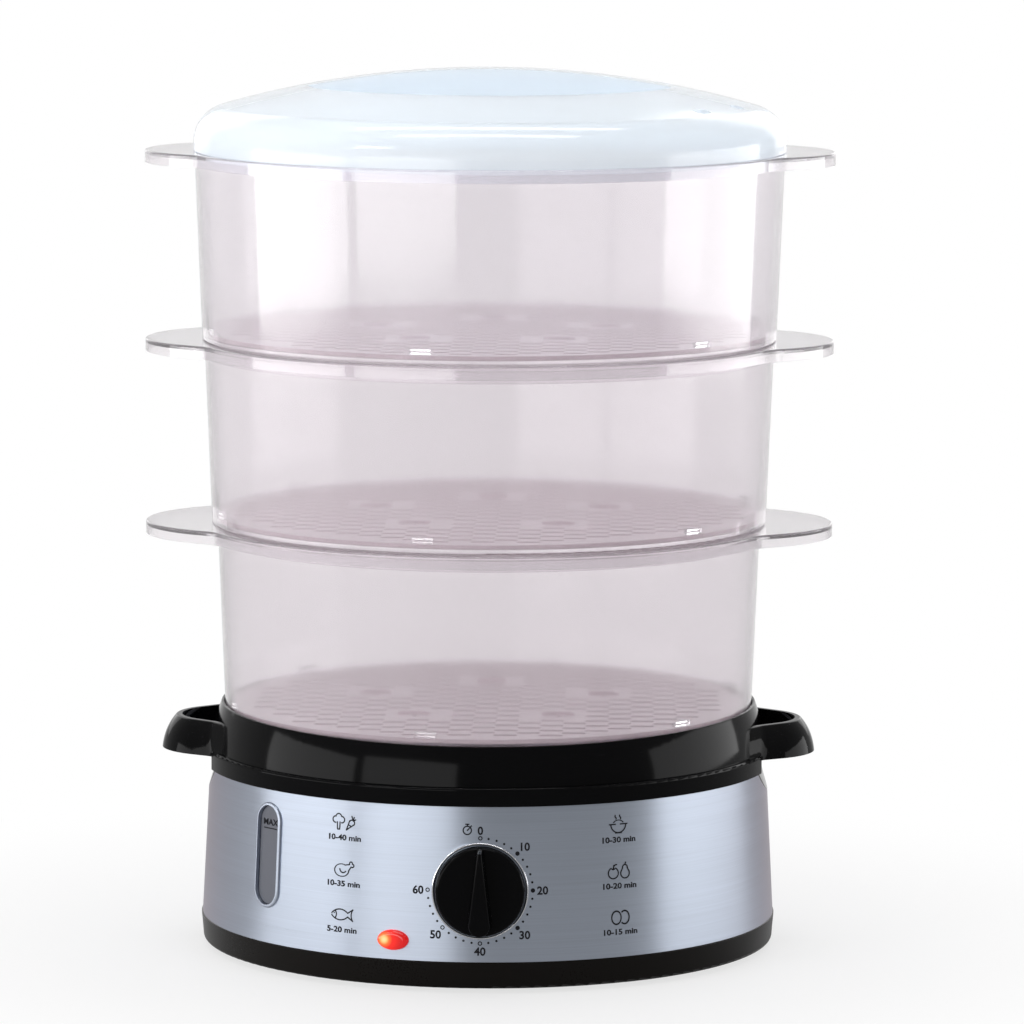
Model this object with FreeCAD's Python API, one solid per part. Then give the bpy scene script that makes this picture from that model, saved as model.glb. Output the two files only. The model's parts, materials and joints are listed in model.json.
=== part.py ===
"""Electric food steamer: a round heated base with a dial, three stacking clear baskets and a domed lid.

Millimetres, +Z up, the dial towards -Y. The origin is on the axis of the round base, at the height of
the surface that its rubber feet stand on.
"""
import FreeCAD, Part
import math
import os

V = FreeCAD.Vector
UP = V(0, 0, 1)

# ---------------------------------------------------------------- driving dimensions
# bottom cover and feet
foot_stand = 2.0  # how far the feet hold the base off the table
foot_pad_radius = 9.0
foot_plug_radius = 4.0
foot_circle = 104.0
foot_angles = (45, 135, 225, 315)
foot_round = 0.8
ring_height = 11.6
ring_overhang = 0.5  # how far the ring stands proud of the steel
ring_wall = 3.0
ring_taper = 1.0
ring_round = 1.6
ring_top_round = 0.5
floor_recess = 3.0  # from the ring's lower edge up to the floor
floor_thickness = 2.5
upstand_height = 5.0
upstand_wall = 2.0
cooling_slots = 7
cooling_slot_length = 26.0
cooling_slot_width = 3.0
cooling_slot_pitch = 7.0

# steel band
band_radius = 126.0
band_height = 66.3
band_lean = 2.94  # degrees that the steel leans in
steel_thickness = 0.7
band_tuck = 3.5  # how far the steel runs up inside the collar

# collar
lip_height = 7.9
lip_overhang = 1.8
lip_wall = 1.4
lip_round = 1.2
collar_plate = 2.5
collar_height = 16.7
collar_setback = 5.2  # of the collar's top edge, from the steel's
collar_foot_setback = 0.8  # of the collar's foot, from the steel's top edge
collar_bulge = 0.7  # how far the collar's face bows out between its foot and its top edge
collar_wall = 1.1  # at its top edge
collar_rise = 2.6  # how much higher the collar is at the handles than at the front
collar_edge_round = 0.45
shelf_drop = 3.5
shelf_thickness = 2.2
shelf_width = 3.5

# finger scoops: the hollow in the lip under each handle, and the tongue of the collar that fills the
# steel's notch below it
scoop_half_width = 32.4
scoop_depth = 11.6  # down the steel from its top edge
scoop_lean = 15.9  # degrees that the hollow leans in
scoop_radius = 400.0  # of the hollow's face in plan
tongue_thickness = 2.0
tongue_lap = 3.0  # how far the tongue reaches down behind the steel

# base handles, whose outline in plan is a trapezoid with round corners and flared roots
handle_reach = 143.7  # at the bottom
handle_top_reach = 137.5
handle_tip_half = 19.2  # half width at the tip, at the bottom
handle_top_tip_half = 11.8
handle_knee = 120.0  # from the axis out to where the sides flare towards the collar
handle_knee_half = 33.4  # half width at the knees, at the bottom
handle_top_knee_half = 26.2
handle_root = 104.0
handle_root_half = 56.0  # half width at the root inside the collar, at the bottom
handle_top_root_half = 47.0
handle_drop = 4.6  # from the collar's top down to the handle's top
handle_height = 14.1
handle_wall = 2.4
handle_corner = 30.0  # at the bottom
handle_top_corner = 24.0
handle_knee_round = 12.0
handle_round = 1.5  # along the top edge
handle_bulge = 1.4  # how far the handle's face bows out between its edges

# water tank
tank_floor_height = 26.0
tank_floor = 2.2
tank_wall = 2.2
tank_setback = 2.8
tank_flange = 2.2
tank_flange_gap = 1.0  # between the tank's flange and the steel
boss_radius = 5.0
boss_circle = 92.0
boss_angles = (-30, 30, 150, 210)

# water window
window_angle = -48.0
window_height = 51.35
window_width = 13.7
window_length = 43.1
window_lip_wall = 1.3
window_lip_proud = 0.9
window_lip_depth = 1.9
window_lip_round = 0.8
window_recess = 0.7
window_round = 0.6
window_flange = 3.0
window_flange_thickness = 1.5
gauge_seal_thickness = 1.5
gauge_duct_wall = 2.0

# heater
heater_hole_radius = 36.0
heater_flange_radius = 44.5
heater_flange = 1.2
heater_rise = 4.0  # how far the plate's middle is raised
heater_step_gap = 2.0  # between the raised middle and the edge of the tank's hole
heater_round = 1.0
heater_seal_thickness = 1.5
element_ring_radius = 25.0
element_tube_radius = 3.2
element_turn = 300.0  # degrees of the ring that the tube fills
element_leg = 9.0
element_leg_radius = 2.2
element_leg_inset = 3.0  # degrees from the tube's end to its leg
clamp_thickness = 1.6
stud_circle = 40.5
stud_radius = 2.0
stud_angles = (90, 210, 330)
stud_spare = 1.0  # how far the studs reach past their nuts
nut_height = 3.2
nut_flats = 7.0
thermostat_radius = 8.0
thermostat_height = 8.0
thermostat_blade_pitch = 8.0
blade_width = 4.8
blade_thickness = 0.8
blade_length = 6.0
fuse_radius = 2.2
fuse_length = 15.0
fuse_place = 15.0  # from the axis of the base, towards the dial
steam_ring_radius = 50.0
steam_ring_wall = 2.0
steam_ring_height = 38.0
steam_bead = 1.2
steam_bead_height = 2.0
steam_arch_width = 15.0
steam_arch_height = 6.0
steam_arches = 4

# drip tray
tray_flange = 1.6
tray_depth = 13.5
tray_wall = 1.6
tray_gap = 0.6
tray_round = 4.0
tray_edge_round = 0.5
chimney_radius = 24.0
chimney_height = 10.0
small_chimney_radius = 5.5
small_chimney_circle = 62.0
small_chimneys = 8

# dial, knob and timer
dial_height = 44.0
knob_radius = 19.2
knob_gap = 0.7
knob_disc = 5.2
knob_foot_setback = 0.6
knob_foot_height = 1.2
knob_foot_round = 0.4
knob_face_setback = 0.4
knob_face_round = 1.4
knob_fin_height = 10.0
knob_fin_tip = 1.5
knob_fin_end = 5.0
knob_fin_setback = 1.0  # from the knob's rim in to the fin's ends
knob_fin_draft = 0.6
knob_fin_round = 0.7
knob_wall = 1.8
knob_ring_gap = 0.45
knob_ring_width = 0.9
knob_ring_proud = 1.6
knob_ring_round = 0.4
shaft_radius = 3.0
shaft_flat = 1.0
shaft_depth = 9.0  # into the timer
shaft_play = 0.05
shaft_hole_radius = 5.0
timer_width = 48.0
timer_tall = 44.0
timer_depth = 20.0
timer_corner = 4.0
timer_screw_x = 17.3  # from the shaft
timer_screw_y = 13.2
timer_blade_pitch = 16.0
timer_blade_setback = 6.0  # from the timer's back
bracket_width = 56.0
bracket_gap = 1.0  # between the bracket's corners and the bottom cover's upstand
bracket_thickness = 1.2
bracket_above = 26.0
bracket_corner = 5.0
bracket_hole_play = 1.0
bracket_foot = 14.0
bracket_screw_x = 18.0
bracket_screw_setback = 8.4  # from the bracket's front
bell_radius = 18.0
bell_foot_radius = 14.0
bell_depth = 7.0
bell_wall = 0.8
bell_gap = 1.0
bell_round = 1.5
bell_post_radius = 2.0
bay_clearance = 3.0

# lamp
lamp_angle = -17.1
lamp_height = 22.0
lamp_width = 13.8
lamp_tall = 8.8
lamp_proud = 2.6
lamp_round = 2.1
lamp_edge = 1.1  # height of the lens's neck above the steel
lamp_neck = 8.0
lamp_neck_inset = 1.2  # from the lens's edge in to its neck
lamp_neck_wall = 0.3  # least wall beside the bulb
neon_radius = 2.9
neon_glass_radius = 2.2
neon_behind = 9.0  # how far the neon lamp's base reaches behind the lens
neon_gap = 1.0

# cord inlet
gland_height = 24.0
gland_flange_radius = 9.0
gland_flange = 2.5
gland_nose = 13.0
gland_nose_radius = 6.5
gland_tip_radius = 5.2
gland_neck_radius = 6.0
gland_inner = 3.0
gland_inner_radius = 8.0
gland_bore_radius = 3.6
gland_round = 0.6
cord_clamp_half = 14.0
cord_clamp_width = 6.0
cord_clamp_thickness = 2.0
cord_cradle = 2.0
cord_post_offset = 10.0
cord_post_radius = 3.0

# electrics on the floor
block_length = 32.0
block_width = 16.0
block_height = 13.0
block_place = (46.0, 60.0)
block_poles = 3
block_screw_radius = 2.6
block_screw_depth = 3.0
block_screw_offset = 4.0
block_notch = 1.0
block_notch_depth = 5.2
wire_radius = 1.2
wire_bend = 4.0
wire_lift = 1.0  # how far the wires run above the floor

# fasteners
screw_radius = 1.5
screw_head_radius = 3.3
screw_head = 2.0
screw_hole_play = 0.3
screw_length = 14.0
small_screw_radius = 1.25
small_screw_head_radius = 2.5
small_screw_head = 1.4
small_screw_length = 6.0
cross_reach = 0.6  # of a screw head's radius
cross_width = 0.4  # of a screw head's height
cross_depth = 0.5  # of a screw head's height

# baskets: lower, middle, upper
basket_names = ("lower", "middle", "upper")
basket_heights = (83.3, 80.0, 82.1)
basket_draft = 2.25  # degrees
basket_gap = 0.5  # between the lower basket and the collar
tier_steps = (2.5, 0.9)  # how much wider each basket's foot is than the top of the one below
rim_overhangs = (7.2, 4.9, 2.8)
basket_wall = 1.8
basket_sill = 2.0  # thickness of the step that carries the floor
basket_stack_gap = 0.3
basket_foot_round = 0.8
basket_sill_round = 0.5
skirt_depth = 8.0
skirt_gap = 0.4
rim_depth = 5.6
rim_plate = 2.0
rim_lip = 1.3
rim_round = 0.9
tab_reach = 150.7
tab_tip_radius = 52.0
tab_blend_radius = 25.0
clip_count = 6
clip_first_angle = 18.0
clip_width = 9.0
clip_proud = 1.4
clip_height = 2.4
clip_gap = 0.3
clip_chamfer = 0.85

# slotted floors
grid_thickness = 1.8
grid_gap = 0.8
grid_border = 5.0
slot_length = 10.6
slot_width = 3.2
slot_pitch = 19.3
slot_row_pitch = 6.7
slot_margin = 0.8  # least web between a slot and an egg seat
egg_seats = 5
egg_seat_circle = 53.0
egg_seat_radius = 7.8
egg_seat_depth = 0.9
egg_hole_radius = 1.3

# lid
lid_setback = 2.3  # from the upper rim's edge in to the lid
lid_edge = 3.5
lid_rise = 32.0
lid_knuckle = 16.0  # radius of the tight curve near the lid's edge
lid_wall = 1.8
lid_skirt = 6.0
lid_skirt_gap = 0.5
dish_radius = 80.0
dish_foot_radius = 75.0
dish_depth = 13.5
grip_width = 20.0
grip_spread = 3.0  # how much wider the grip is at its foot, each side
vent_circle = 111.5
vent_angles = (55.5, 73.7)
vent_length = 9.5
vent_width = 5.5

# ---------------------------------------------------------------- levels and radii that follow
fit = 0.1  # slack where one fixed piece lies round another
near = 0.01  # how near an edge lies to a level for it to count as being there
cutter = 10.0  # how far a cutting shape reaches past what it cuts

ring_top = foot_stand + ring_height
floor_low = foot_stand + floor_recess
floor_top = floor_low + floor_thickness
band_top = ring_top + band_height
lip_top = band_top + lip_height
collar_top = lip_top + collar_height
shelf_top = collar_top - shelf_drop
plate_low = lip_top - collar_plate

lean = math.radians(band_lean)
draft = math.radians(basket_draft)
ring_radius = band_radius + ring_overhang
upstand_radius = band_radius - steel_thickness - upstand_height * math.tan(lean) - fit
upstand_inner = upstand_radius - upstand_wall
band_top_radius = band_radius - band_height * math.tan(lean)
lip_radius = band_top_radius + lip_overhang
collar_radius = band_top_radius - collar_setback
mouth_radius = collar_radius - collar_wall
shelf_radius = mouth_radius - shelf_width
tank_radius = shelf_radius - tank_setback
tank_floor_top = tank_floor_height + tank_floor
tank_top = plate_low
plate_under = tank_floor_top + heater_seal_thickness
stud_low = tank_floor_height - clamp_thickness - nut_height - stud_spare
cord_clamp_circle = (tank_radius + upstand_inner) / 2

tray_top = shelf_top + basket_stack_gap + tray_flange
first_seat = tray_top + basket_stack_gap


def band_surface(height):
    """Outer radius of the steel band at a height."""
    return band_radius - (height - ring_top) * math.tan(lean)


bracket_reach = math.sqrt(upstand_inner ** 2 - (bracket_width / 2) ** 2) - bracket_gap
bracket_setback = band_surface(floor_top) - bracket_reach  # from the steel's outside in to the bracket
timer_front = -(bracket_setback + bracket_thickness)
timer_rear = timer_front - timer_depth
bell_rear = timer_rear - bell_depth - fit
bay_wall = band_surface(dial_height) + bell_rear - bay_clearance  # from the axis to the bay's wall


# ---------------------------------------------------------------- building helpers
def rounded_edges(corners, place):
    """Edges of a closed outline through (a, b) or (a, b, radius) corners, put in space by place(a, b)."""
    count = len(corners)
    joints = []
    for i, corner in enumerate(corners):
        point = V(corner[0], corner[1], 0)
        if len(corner) < 3:
            joints.append((point, None, point))
            continue
        before = V(*corners[i - 1][:2], 0) - point
        after = V(*corners[(i + 1) % count][:2], 0) - point
        before.normalize()
        after.normalize()
        half = before.getAngle(after) / 2
        middle = before + after
        middle.normalize()
        reach = corner[2] / math.tan(half)
        nearest = point + middle * (corner[2] / math.sin(half) - corner[2])
        joints.append((point + before * reach, nearest, point + after * reach))
    edges = []
    for i, (start, nearest, end) in enumerate(joints):
        if nearest is not None:
            arc = (place(start.x, start.y), place(nearest.x, nearest.y), place(end.x, end.y))
            edges.append(Part.Arc(*arc).toShape())
        following = joints[(i + 1) % count][0]
        if end.distanceToPoint(following) > 1e-6:
            line = (place(end.x, end.y), place(following.x, following.y))
            edges.append(Part.LineSegment(*line).toShape())
    return edges


def turned(corners):
    """Solid of revolution about Z of a closed (radius, height) outline."""
    wire = Part.Wire(rounded_edges(corners, lambda r, z: V(r, 0, z)))
    return Part.Face(wire).revolve(V(0, 0, 0), UP, 360)


def slab(corners, low, high):
    """Upright prism between two heights, with a closed (x, y) outline."""
    wire = Part.Wire(rounded_edges(corners, lambda x, y: V(x, y, low)))
    return Part.Face(wire).extrude(V(0, 0, high - low))


def disc(radius, low, high, x=0.0, y=0.0):
    """Upright cylinder between two heights."""
    return Part.makeCylinder(radius, high - low, V(x, y, low))


def tube(outer, inner, low, high):
    """Upright pipe between two heights."""
    return disc(outer, low, high).cut(disc(inner, low, high))


def block(x, y, low, high):
    """Upright box between two heights, from ranges of x and y."""
    return Part.makeBox(x[1] - x[0], y[1] - y[0], high - low, V(x[0], y[0], low))


def oval(width, length, low, high):
    """Upright prism of a long oval that is longest along Y."""
    half, radius = length / 2, width / 2
    corners = ((-radius, -half), (radius, -half), (radius, half), (-radius, half))
    return slab([(x, y, radius) for x, y in corners], low, high)


def polar(radius, degrees):
    """Point in plan at a radius, the angle counted from +X."""
    angle = math.radians(degrees)
    return radius * math.cos(angle), radius * math.sin(angle)


def turned_copy(shape, degrees):
    """Copy of a shape, turned about Z."""
    copy = shape.copy()
    copy.rotate(V(0, 0, 0), UP, degrees)
    return copy


def on_panel(shape, angle, height):
    """Puts a shape on the steel band: its Z along the outward normal there, its Y up the steel.

    The angle is counted from the front, towards +X.
    """
    tilt = FreeCAD.Rotation(V(1, 0, 0), 90 - band_lean)
    spin = FreeCAD.Rotation(UP, angle)
    radius = band_surface(height)
    turn = math.radians(angle)
    place = V(radius * math.sin(turn), -radius * math.cos(turn), height)
    moved = shape.copy()
    moved.Placement = FreeCAD.Placement(place, spin.multiply(tilt)).multiply(moved.Placement)
    return moved


def panel_point(angle, height, x, y, depth):
    """Point behind the steel band, from its place beside and above a point of the band's surface."""
    point = on_panel(Part.Vertex(x, y, -depth), angle, height).Point
    return point.x, point.y, point.z


def steel_core(inset=0.0, top=band_top):
    """Everything inside the steel band's surface, moved in by the inset, up to a height."""
    low, high = band_radius - inset, band_surface(top) - inset
    return turned([(0, ring_top), (low, ring_top), (high, top), (0, top)])


def scoop_core(inset=0.0):
    """Everything behind the face of the right-hand finger scoop, which is moved in by the inset."""
    low = band_top - scoop_depth
    lean_in = math.radians(scoop_lean)
    inward = V(-math.cos(lean_in), 0, -math.sin(lean_in))
    along = V(-math.sin(lean_in), 0, math.cos(lean_in))
    middle = V(band_surface(low), 0, low) + inward * scoop_radius
    reach = 2 * lip_radius
    return Part.makeCylinder(scoop_radius - inset, 2 * reach, middle - along * reach, along)


def scoop_room():
    """The room that the right-hand scoop and its tongue take up, up to the lip's top."""
    low = band_top - scoop_depth - tongue_lap
    return block((shelf_radius, 2 * lip_radius), (-scoop_half_width, scoop_half_width), low, lip_top)


def steel_notch():
    """What the right-hand scoop takes out of the steel, as a prism along X."""
    half = scoop_half_width
    left, tip, right = V(0, -half, band_top), V(0, 0, band_top - scoop_depth), V(0, half, band_top)
    ends = [right, V(0, half, lip_top), V(0, -half, lip_top), left]
    lines = [Part.LineSegment(a, b).toShape() for a, b in zip(ends, ends[1:])]
    outline = Part.Wire([Part.Arc(left, tip, right).toShape(), *lines])
    return Part.Face(outline).extrude(V(2 * lip_radius, 0, 0))


def both_sides(shape):
    """A shape of the right-hand side and its copy on the left."""
    return Part.makeCompound([shape, turned_copy(shape, 180)])


def top_edges(shape, level):
    """Edges of a shape that lie at a level and above."""
    return [edge for edge in shape.Edges if edge.BoundBox.ZMin > level - near]


def fuse(shapes):
    """One solid from shapes that touch or overlap."""
    return shapes[0].multiFuse(list(shapes[1:])).removeSplitter()


def save(name, *solids):
    """Writes one node."""
    shape = solids[0] if len(solids) == 1 else Part.makeCompound(list(solids))
    shape.exportStep(os.path.join("parts", name + ".step"))


# ---------------------------------------------------------------- bottom cover and feet
def bottom_cover():
    inner = ring_radius - ring_wall
    cover = turned([
        (0, floor_low), (inner, floor_low), (inner, foot_stand),
        (ring_radius - ring_taper, foot_stand, ring_round), (ring_radius, ring_top, ring_top_round),
        (upstand_radius, ring_top), (upstand_radius, ring_top + upstand_height),
        (upstand_inner, ring_top + upstand_height), (upstand_inner, floor_top), (0, floor_top),
    ])
    holes = [on_panel(disc(gland_inner_radius + fit, -cutter, 0), 180, gland_height)]
    for angle in foot_angles:
        holes.append(disc(foot_plug_radius, floor_low, floor_top, *polar(foot_circle, angle)))
    for angle in boss_angles:
        holes.append(disc(screw_radius + screw_hole_play, floor_low, floor_top, *polar(boss_circle, angle)))
    for x, y in bracket_screw_places():
        holes.append(disc(small_screw_radius + screw_hole_play, floor_low, floor_top, x, y))
    first = -(cooling_slots - 1) / 2 * cooling_slot_pitch
    for i in range(cooling_slots):
        slot = oval(cooling_slot_width, cooling_slot_length, floor_low, floor_top)
        slot.translate(V(first + i * cooling_slot_pitch, 0, 0))
        holes.append(slot)
    cover = cover.cut(Part.makeCompound(holes))
    posts = [disc(cord_post_radius, floor_top, gland_height, x, cord_clamp_circle)
             for x in (-cord_post_offset, cord_post_offset)]
    pilots = [disc(small_screw_radius, gland_height - small_screw_length, gland_height, x, cord_clamp_circle)
              for x in (-cord_post_offset, cord_post_offset)]
    cradle = block((-cord_post_offset, cord_post_offset),
                   (cord_clamp_circle - cord_cradle / 2, cord_clamp_circle + cord_cradle / 2),
                   floor_top, gland_height - gland_bore_radius)
    return fuse([cover, *posts, cradle]).cut(Part.makeCompound(pilots))


def rubber_feet():
    feet = []
    for angle in foot_angles:
        x, y = polar(foot_circle, angle)
        pad = disc(foot_pad_radius, 0, floor_low, x, y)
        rims = [edge for edge in pad.Edges if edge.BoundBox.ZMax < near]
        pad = pad.makeFillet(foot_round, rims)
        feet.append(fuse([pad, disc(foot_plug_radius, floor_low, floor_top, x, y)]))
    return feet


def screw(radius, head_radius, head, length):
    """Cross-head screw that points up, its head's seat at the origin."""
    body = fuse([disc(head_radius, -head, 0), disc(radius, 0, length)])
    arm, half, deep = cross_reach * head_radius, cross_width * head / 2, cross_depth * head
    cross = [block((-arm, arm), (-half, half), -head, -head + deep),
             block((-half, half), (-arm, arm), -head, -head + deep)]
    return body.cut(Part.makeCompound(cross))


def bottom_screws():
    screws = []
    for angle in boss_angles:
        one = screw(screw_radius, screw_head_radius, screw_head, screw_length)
        one.translate(V(*polar(boss_circle, angle), floor_low))
        screws.append(one)
    return screws


# ---------------------------------------------------------------- steel band
def steel_band():
    top = band_top + band_tuck
    outer_top = band_surface(top)
    thin = steel_thickness
    band = turned([
        (band_radius, ring_top), (outer_top, top), (outer_top - thin, top), (band_radius - thin, ring_top),
    ])
    lip = oval(window_width + 2 * window_lip_wall, window_length + 2 * window_lip_wall,
               -window_lip_depth, window_lip_proud)
    lip = lip.makeFillet(window_lip_round, top_edges(lip, window_lip_proud))
    holes = [
        on_panel(oval(window_width, window_length, -cutter, cutter), window_angle, window_height),
        on_panel(lamp_oval(lamp_neck_inset, -cutter, cutter), lamp_angle, lamp_height),
        on_panel(disc(shaft_hole_radius, -cutter, cutter), 0, dial_height),
        on_panel(disc(gland_neck_radius, -cutter, cutter), 180, gland_height),
    ]
    holes += both_sides(steel_notch()).Solids
    return fuse([band, on_panel(lip, window_angle, window_height)]).cut(Part.makeCompound(holes))


# ---------------------------------------------------------------- collar
def collar_body(inner):
    """The collar's band as a solid of revolution, which leans in and bows out a little."""
    foot = V(band_top_radius - collar_foot_setback, 0, lip_top)
    top = V(collar_radius, 0, collar_top + collar_rise)
    middle = (foot + top) / 2 + V(collar_bulge, 0, 0)
    back = [top, V(inner, 0, top.z), V(inner, 0, foot.z), foot]
    lines = [Part.LineSegment(a, b).toShape() for a, b in zip(back, back[1:])]
    outline = Part.Wire([Part.Arc(foot, middle, top).toShape(), *lines])
    return Part.Face(outline).revolve(V(0, 0, 0), UP, 360)


def saddle():
    """Everything above the collar's top edge, which dips towards the front and the back."""
    sweep = collar_radius ** 2 / (2 * collar_rise)
    axle = Part.makeCylinder(sweep, 4 * lip_radius, V(0, -2 * lip_radius, collar_top + sweep), V(0, 1, 0))
    span = (-lip_radius, lip_radius)
    cap = block(span, span, collar_top - collar_rise, collar_top + 4 * collar_rise)
    return cap.common(axle)


def tongue():
    """The right-hand scoop's wall, which fills the notch in the steel and laps behind its edges."""
    behind = steel_core(steel_thickness + fit, lip_top)
    within = steel_core(0, lip_top).common(steel_notch())
    sheet = scoop_room().common(scoop_core()).cut(scoop_core(tongue_thickness))
    return sheet.common(fuse([behind, within]))


def collar():
    plate = turned([
        (shelf_radius, plate_low), (lip_radius - lip_wall, plate_low), (lip_radius - lip_wall, band_top),
        (lip_radius, band_top), (lip_radius, lip_top, lip_round), (shelf_radius, lip_top),
    ])
    plate = plate.cut(both_sides(scoop_room().cut(scoop_core())))
    shelf = tube(mouth_radius + collar_wall / 2, shelf_radius, shelf_top - shelf_thickness, shelf_top)
    body = collar_body(mouth_radius).cut(saddle())
    body = body.makeFillet(collar_edge_round, top_edges(body, collar_top))
    return fuse([plate, body, shelf, *both_sides(tongue()).Solids])


# ---------------------------------------------------------------- base handles
def moved_in(corners, inset):
    """Corners of an anticlockwise (x, y) or (x, y, radius) outline, moved in, their rounding to match."""
    moved = []
    for i, (x, y, *radius) in enumerate(corners):
        here = V(x, y, 0)
        arriving = here - V(*corners[i - 1][:2], 0)
        leaving = V(*corners[(i + 1) % len(corners)][:2], 0) - here
        arriving.normalize()
        leaving.normalize()
        inward = UP.cross(arriving) + UP.cross(leaving)
        point = here + inward * (inset / (1 + arriving.dot(leaving)))
        turning = 1 if arriving.cross(leaving).z > 0 else -1
        moved.append((point.x, point.y, *(r - turning * inset for r in radius)))
    return moved


def handle_outline(down, inset, height):
    """Closed outline at one height, moved in, its sizes taken a share of the way down the handle."""
    def between(top, bottom):
        return top + (bottom - top) * down

    side = [
        (handle_root, between(handle_top_root_half, handle_root_half)),
        (handle_knee, between(handle_top_knee_half, handle_knee_half), handle_knee_round),
        (between(handle_top_reach, handle_reach), between(handle_top_tip_half, handle_tip_half),
         between(handle_top_corner, handle_corner)),
    ]
    corners = [(x, -y, *radius) for x, y, *radius in side] + side[::-1]
    return Part.Wire(rounded_edges(moved_in(corners, inset), lambda x, y: V(x, y, height)))


def handle_body(inset, beyond):
    """Flared loop, filled in, its face moved in by the inset and its ends moved out beyond the handle's."""
    top = collar_top - handle_drop
    low = top - handle_height
    return Part.makeLoft([
        handle_outline(0, inset, top + beyond),
        handle_outline(0.5, inset - handle_bulge, (top + low) / 2),
        handle_outline(1, inset, low - beyond),
    ], True)


def right_handle():
    body = handle_body(0, 0)
    body = body.makeFillet(handle_round, top_edges(body, collar_top - handle_drop))
    ring = body.cut(handle_body(handle_wall, near))
    keep_out = fuse([collar_body(0), disc(lip_radius, band_top, lip_top)])
    return ring.cut(keep_out)


# ---------------------------------------------------------------- water tank and window
def gauge_levels():
    """Local heights of the front and back of the window's flange, and of the duct's end behind the seal."""
    flange_front = -window_lip_depth - fit
    flange_back = flange_front - window_flange_thickness
    duct_end = flange_back - gauge_seal_thickness
    return flange_front, flange_back, duct_end


def water_tank():
    far = (-2 * tank_radius, 2 * tank_radius)
    outer = disc(tank_radius, tank_floor_height, tank_top)
    outer = outer.cut(block(far, (far[0], -bay_wall), tank_floor_height, tank_top))
    inner = disc(tank_radius - tank_wall, tank_floor_top, tank_top + cutter)
    inner = inner.cut(block(far, (far[0], -bay_wall + tank_wall), tank_floor_top, tank_top + cutter))
    flange_radius = band_surface(band_top) - steel_thickness - tank_flange_gap
    flange = disc(flange_radius, tank_top - tank_flange, tank_top)
    flange = flange.cut(both_sides(scoop_room().cut(scoop_core(tongue_thickness + tank_flange_gap))))
    wide, tall = window_width + 2 * window_flange, window_length + 2 * window_flange
    duct_end = gauge_levels()[2]
    reach = band_surface(window_height) - tank_radius + 2 * tank_wall
    duct = on_panel(oval(wide, tall, -reach, duct_end), window_angle, window_height)
    bore = oval(wide - 2 * gauge_duct_wall, tall - 2 * gauge_duct_wall, -reach, duct_end + cutter)
    bosses, holes = [], [disc(heater_hole_radius, 0, tank_top), on_panel(bore, window_angle, window_height)]
    for angle in boss_angles:
        place = polar(boss_circle, angle)
        bosses.append(disc(boss_radius, floor_top, tank_floor_height, *place))
        holes.append(disc(screw_radius, floor_top, tank_floor_height, *place))
    for angle in stud_angles:
        place = polar(stud_circle, angle)
        holes.append(disc(stud_radius + screw_hole_play, tank_floor_height, tank_floor_top, *place))
    return fuse([outer, flange, duct, *bosses]).cut(inner).cut(Part.makeCompound(holes))


def gauge_window():
    flange_front, flange_back, _ = gauge_levels()
    wide, tall = window_width + 2 * window_flange, window_length + 2 * window_flange
    flange = oval(wide, tall, flange_back, flange_front)
    nose = oval(window_width - 2 * fit, window_length - 2 * fit, flange_front, -window_recess)
    nose = nose.makeFillet(window_round, top_edges(nose, -window_recess))
    return on_panel(fuse([flange, nose]), window_angle, window_height)


def gauge_seal():
    _, flange_back, duct_end = gauge_levels()
    wide = window_width + 2 * window_flange
    tall = window_length + 2 * window_flange
    ring = oval(wide, tall, duct_end, flange_back)
    hole = oval(wide - 2 * gauge_duct_wall, tall - 2 * gauge_duct_wall, duct_end, flange_back)
    return on_panel(ring.cut(hole), window_angle, window_height)


# ---------------------------------------------------------------- heater
def heater_plate():
    rise = plate_under + heater_rise
    step = heater_hole_radius - heater_step_gap
    plate = turned([
        (0, rise), (step - heater_rise, rise), (step, plate_under), (heater_flange_radius, plate_under),
        (heater_flange_radius, plate_under + heater_flange),
        (step + heater_flange / 2, plate_under + heater_flange, heater_round),
        (step - heater_rise, rise + heater_flange, heater_round), (0, rise + heater_flange),
    ])
    studs = [disc(stud_radius, stud_low, plate_under, *polar(stud_circle, angle)) for angle in stud_angles]
    return fuse([plate, *studs])


def heater_washer(low, high):
    """Flat ring round the heater, with holes for the plate's studs."""
    ring = tube(heater_flange_radius, heater_hole_radius, low, high)
    holes = [disc(stud_radius, low, high, *polar(stud_circle, angle)) for angle in stud_angles]
    return ring.cut(Part.makeCompound(holes))


def heater_seal():
    return heater_washer(tank_floor_top, plate_under)


def element_leg_angles():
    """Where the tube's two legs are on the element's ring."""
    half_gap = (360 - element_turn) / 2 + element_leg_inset
    return 90 + half_gap, 90 - half_gap


def heating_element():
    centre = plate_under + heater_rise - element_tube_radius
    hub = V(0, 0, centre)
    ring = Part.makeTorus(element_ring_radius, element_tube_radius, hub, UP, -180, 180, element_turn)
    ring = turned_copy(ring, 90 + (360 - element_turn) / 2)
    legs = [disc(element_leg_radius, centre - element_leg, centre, *polar(element_ring_radius, angle))
            for angle in element_leg_angles()]
    return fuse([ring, *legs])


def heater_clamp():
    return heater_washer(tank_floor_height - clamp_thickness, tank_floor_height)


def heater_nuts():
    top = tank_floor_height - clamp_thickness
    corner = nut_flats / 2 / math.cos(math.radians(30))
    nuts = []
    for angle in stud_angles:
        x, y = polar(stud_circle, angle)
        hexagon = [polar(corner, 60 * i) for i in range(6)]
        nut = slab([(x + dx, y + dy) for dx, dy in hexagon], top - nut_height, top)
        nuts.append(nut.cut(disc(stud_radius, top - nut_height, top, x, y)))
    return nuts


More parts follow.
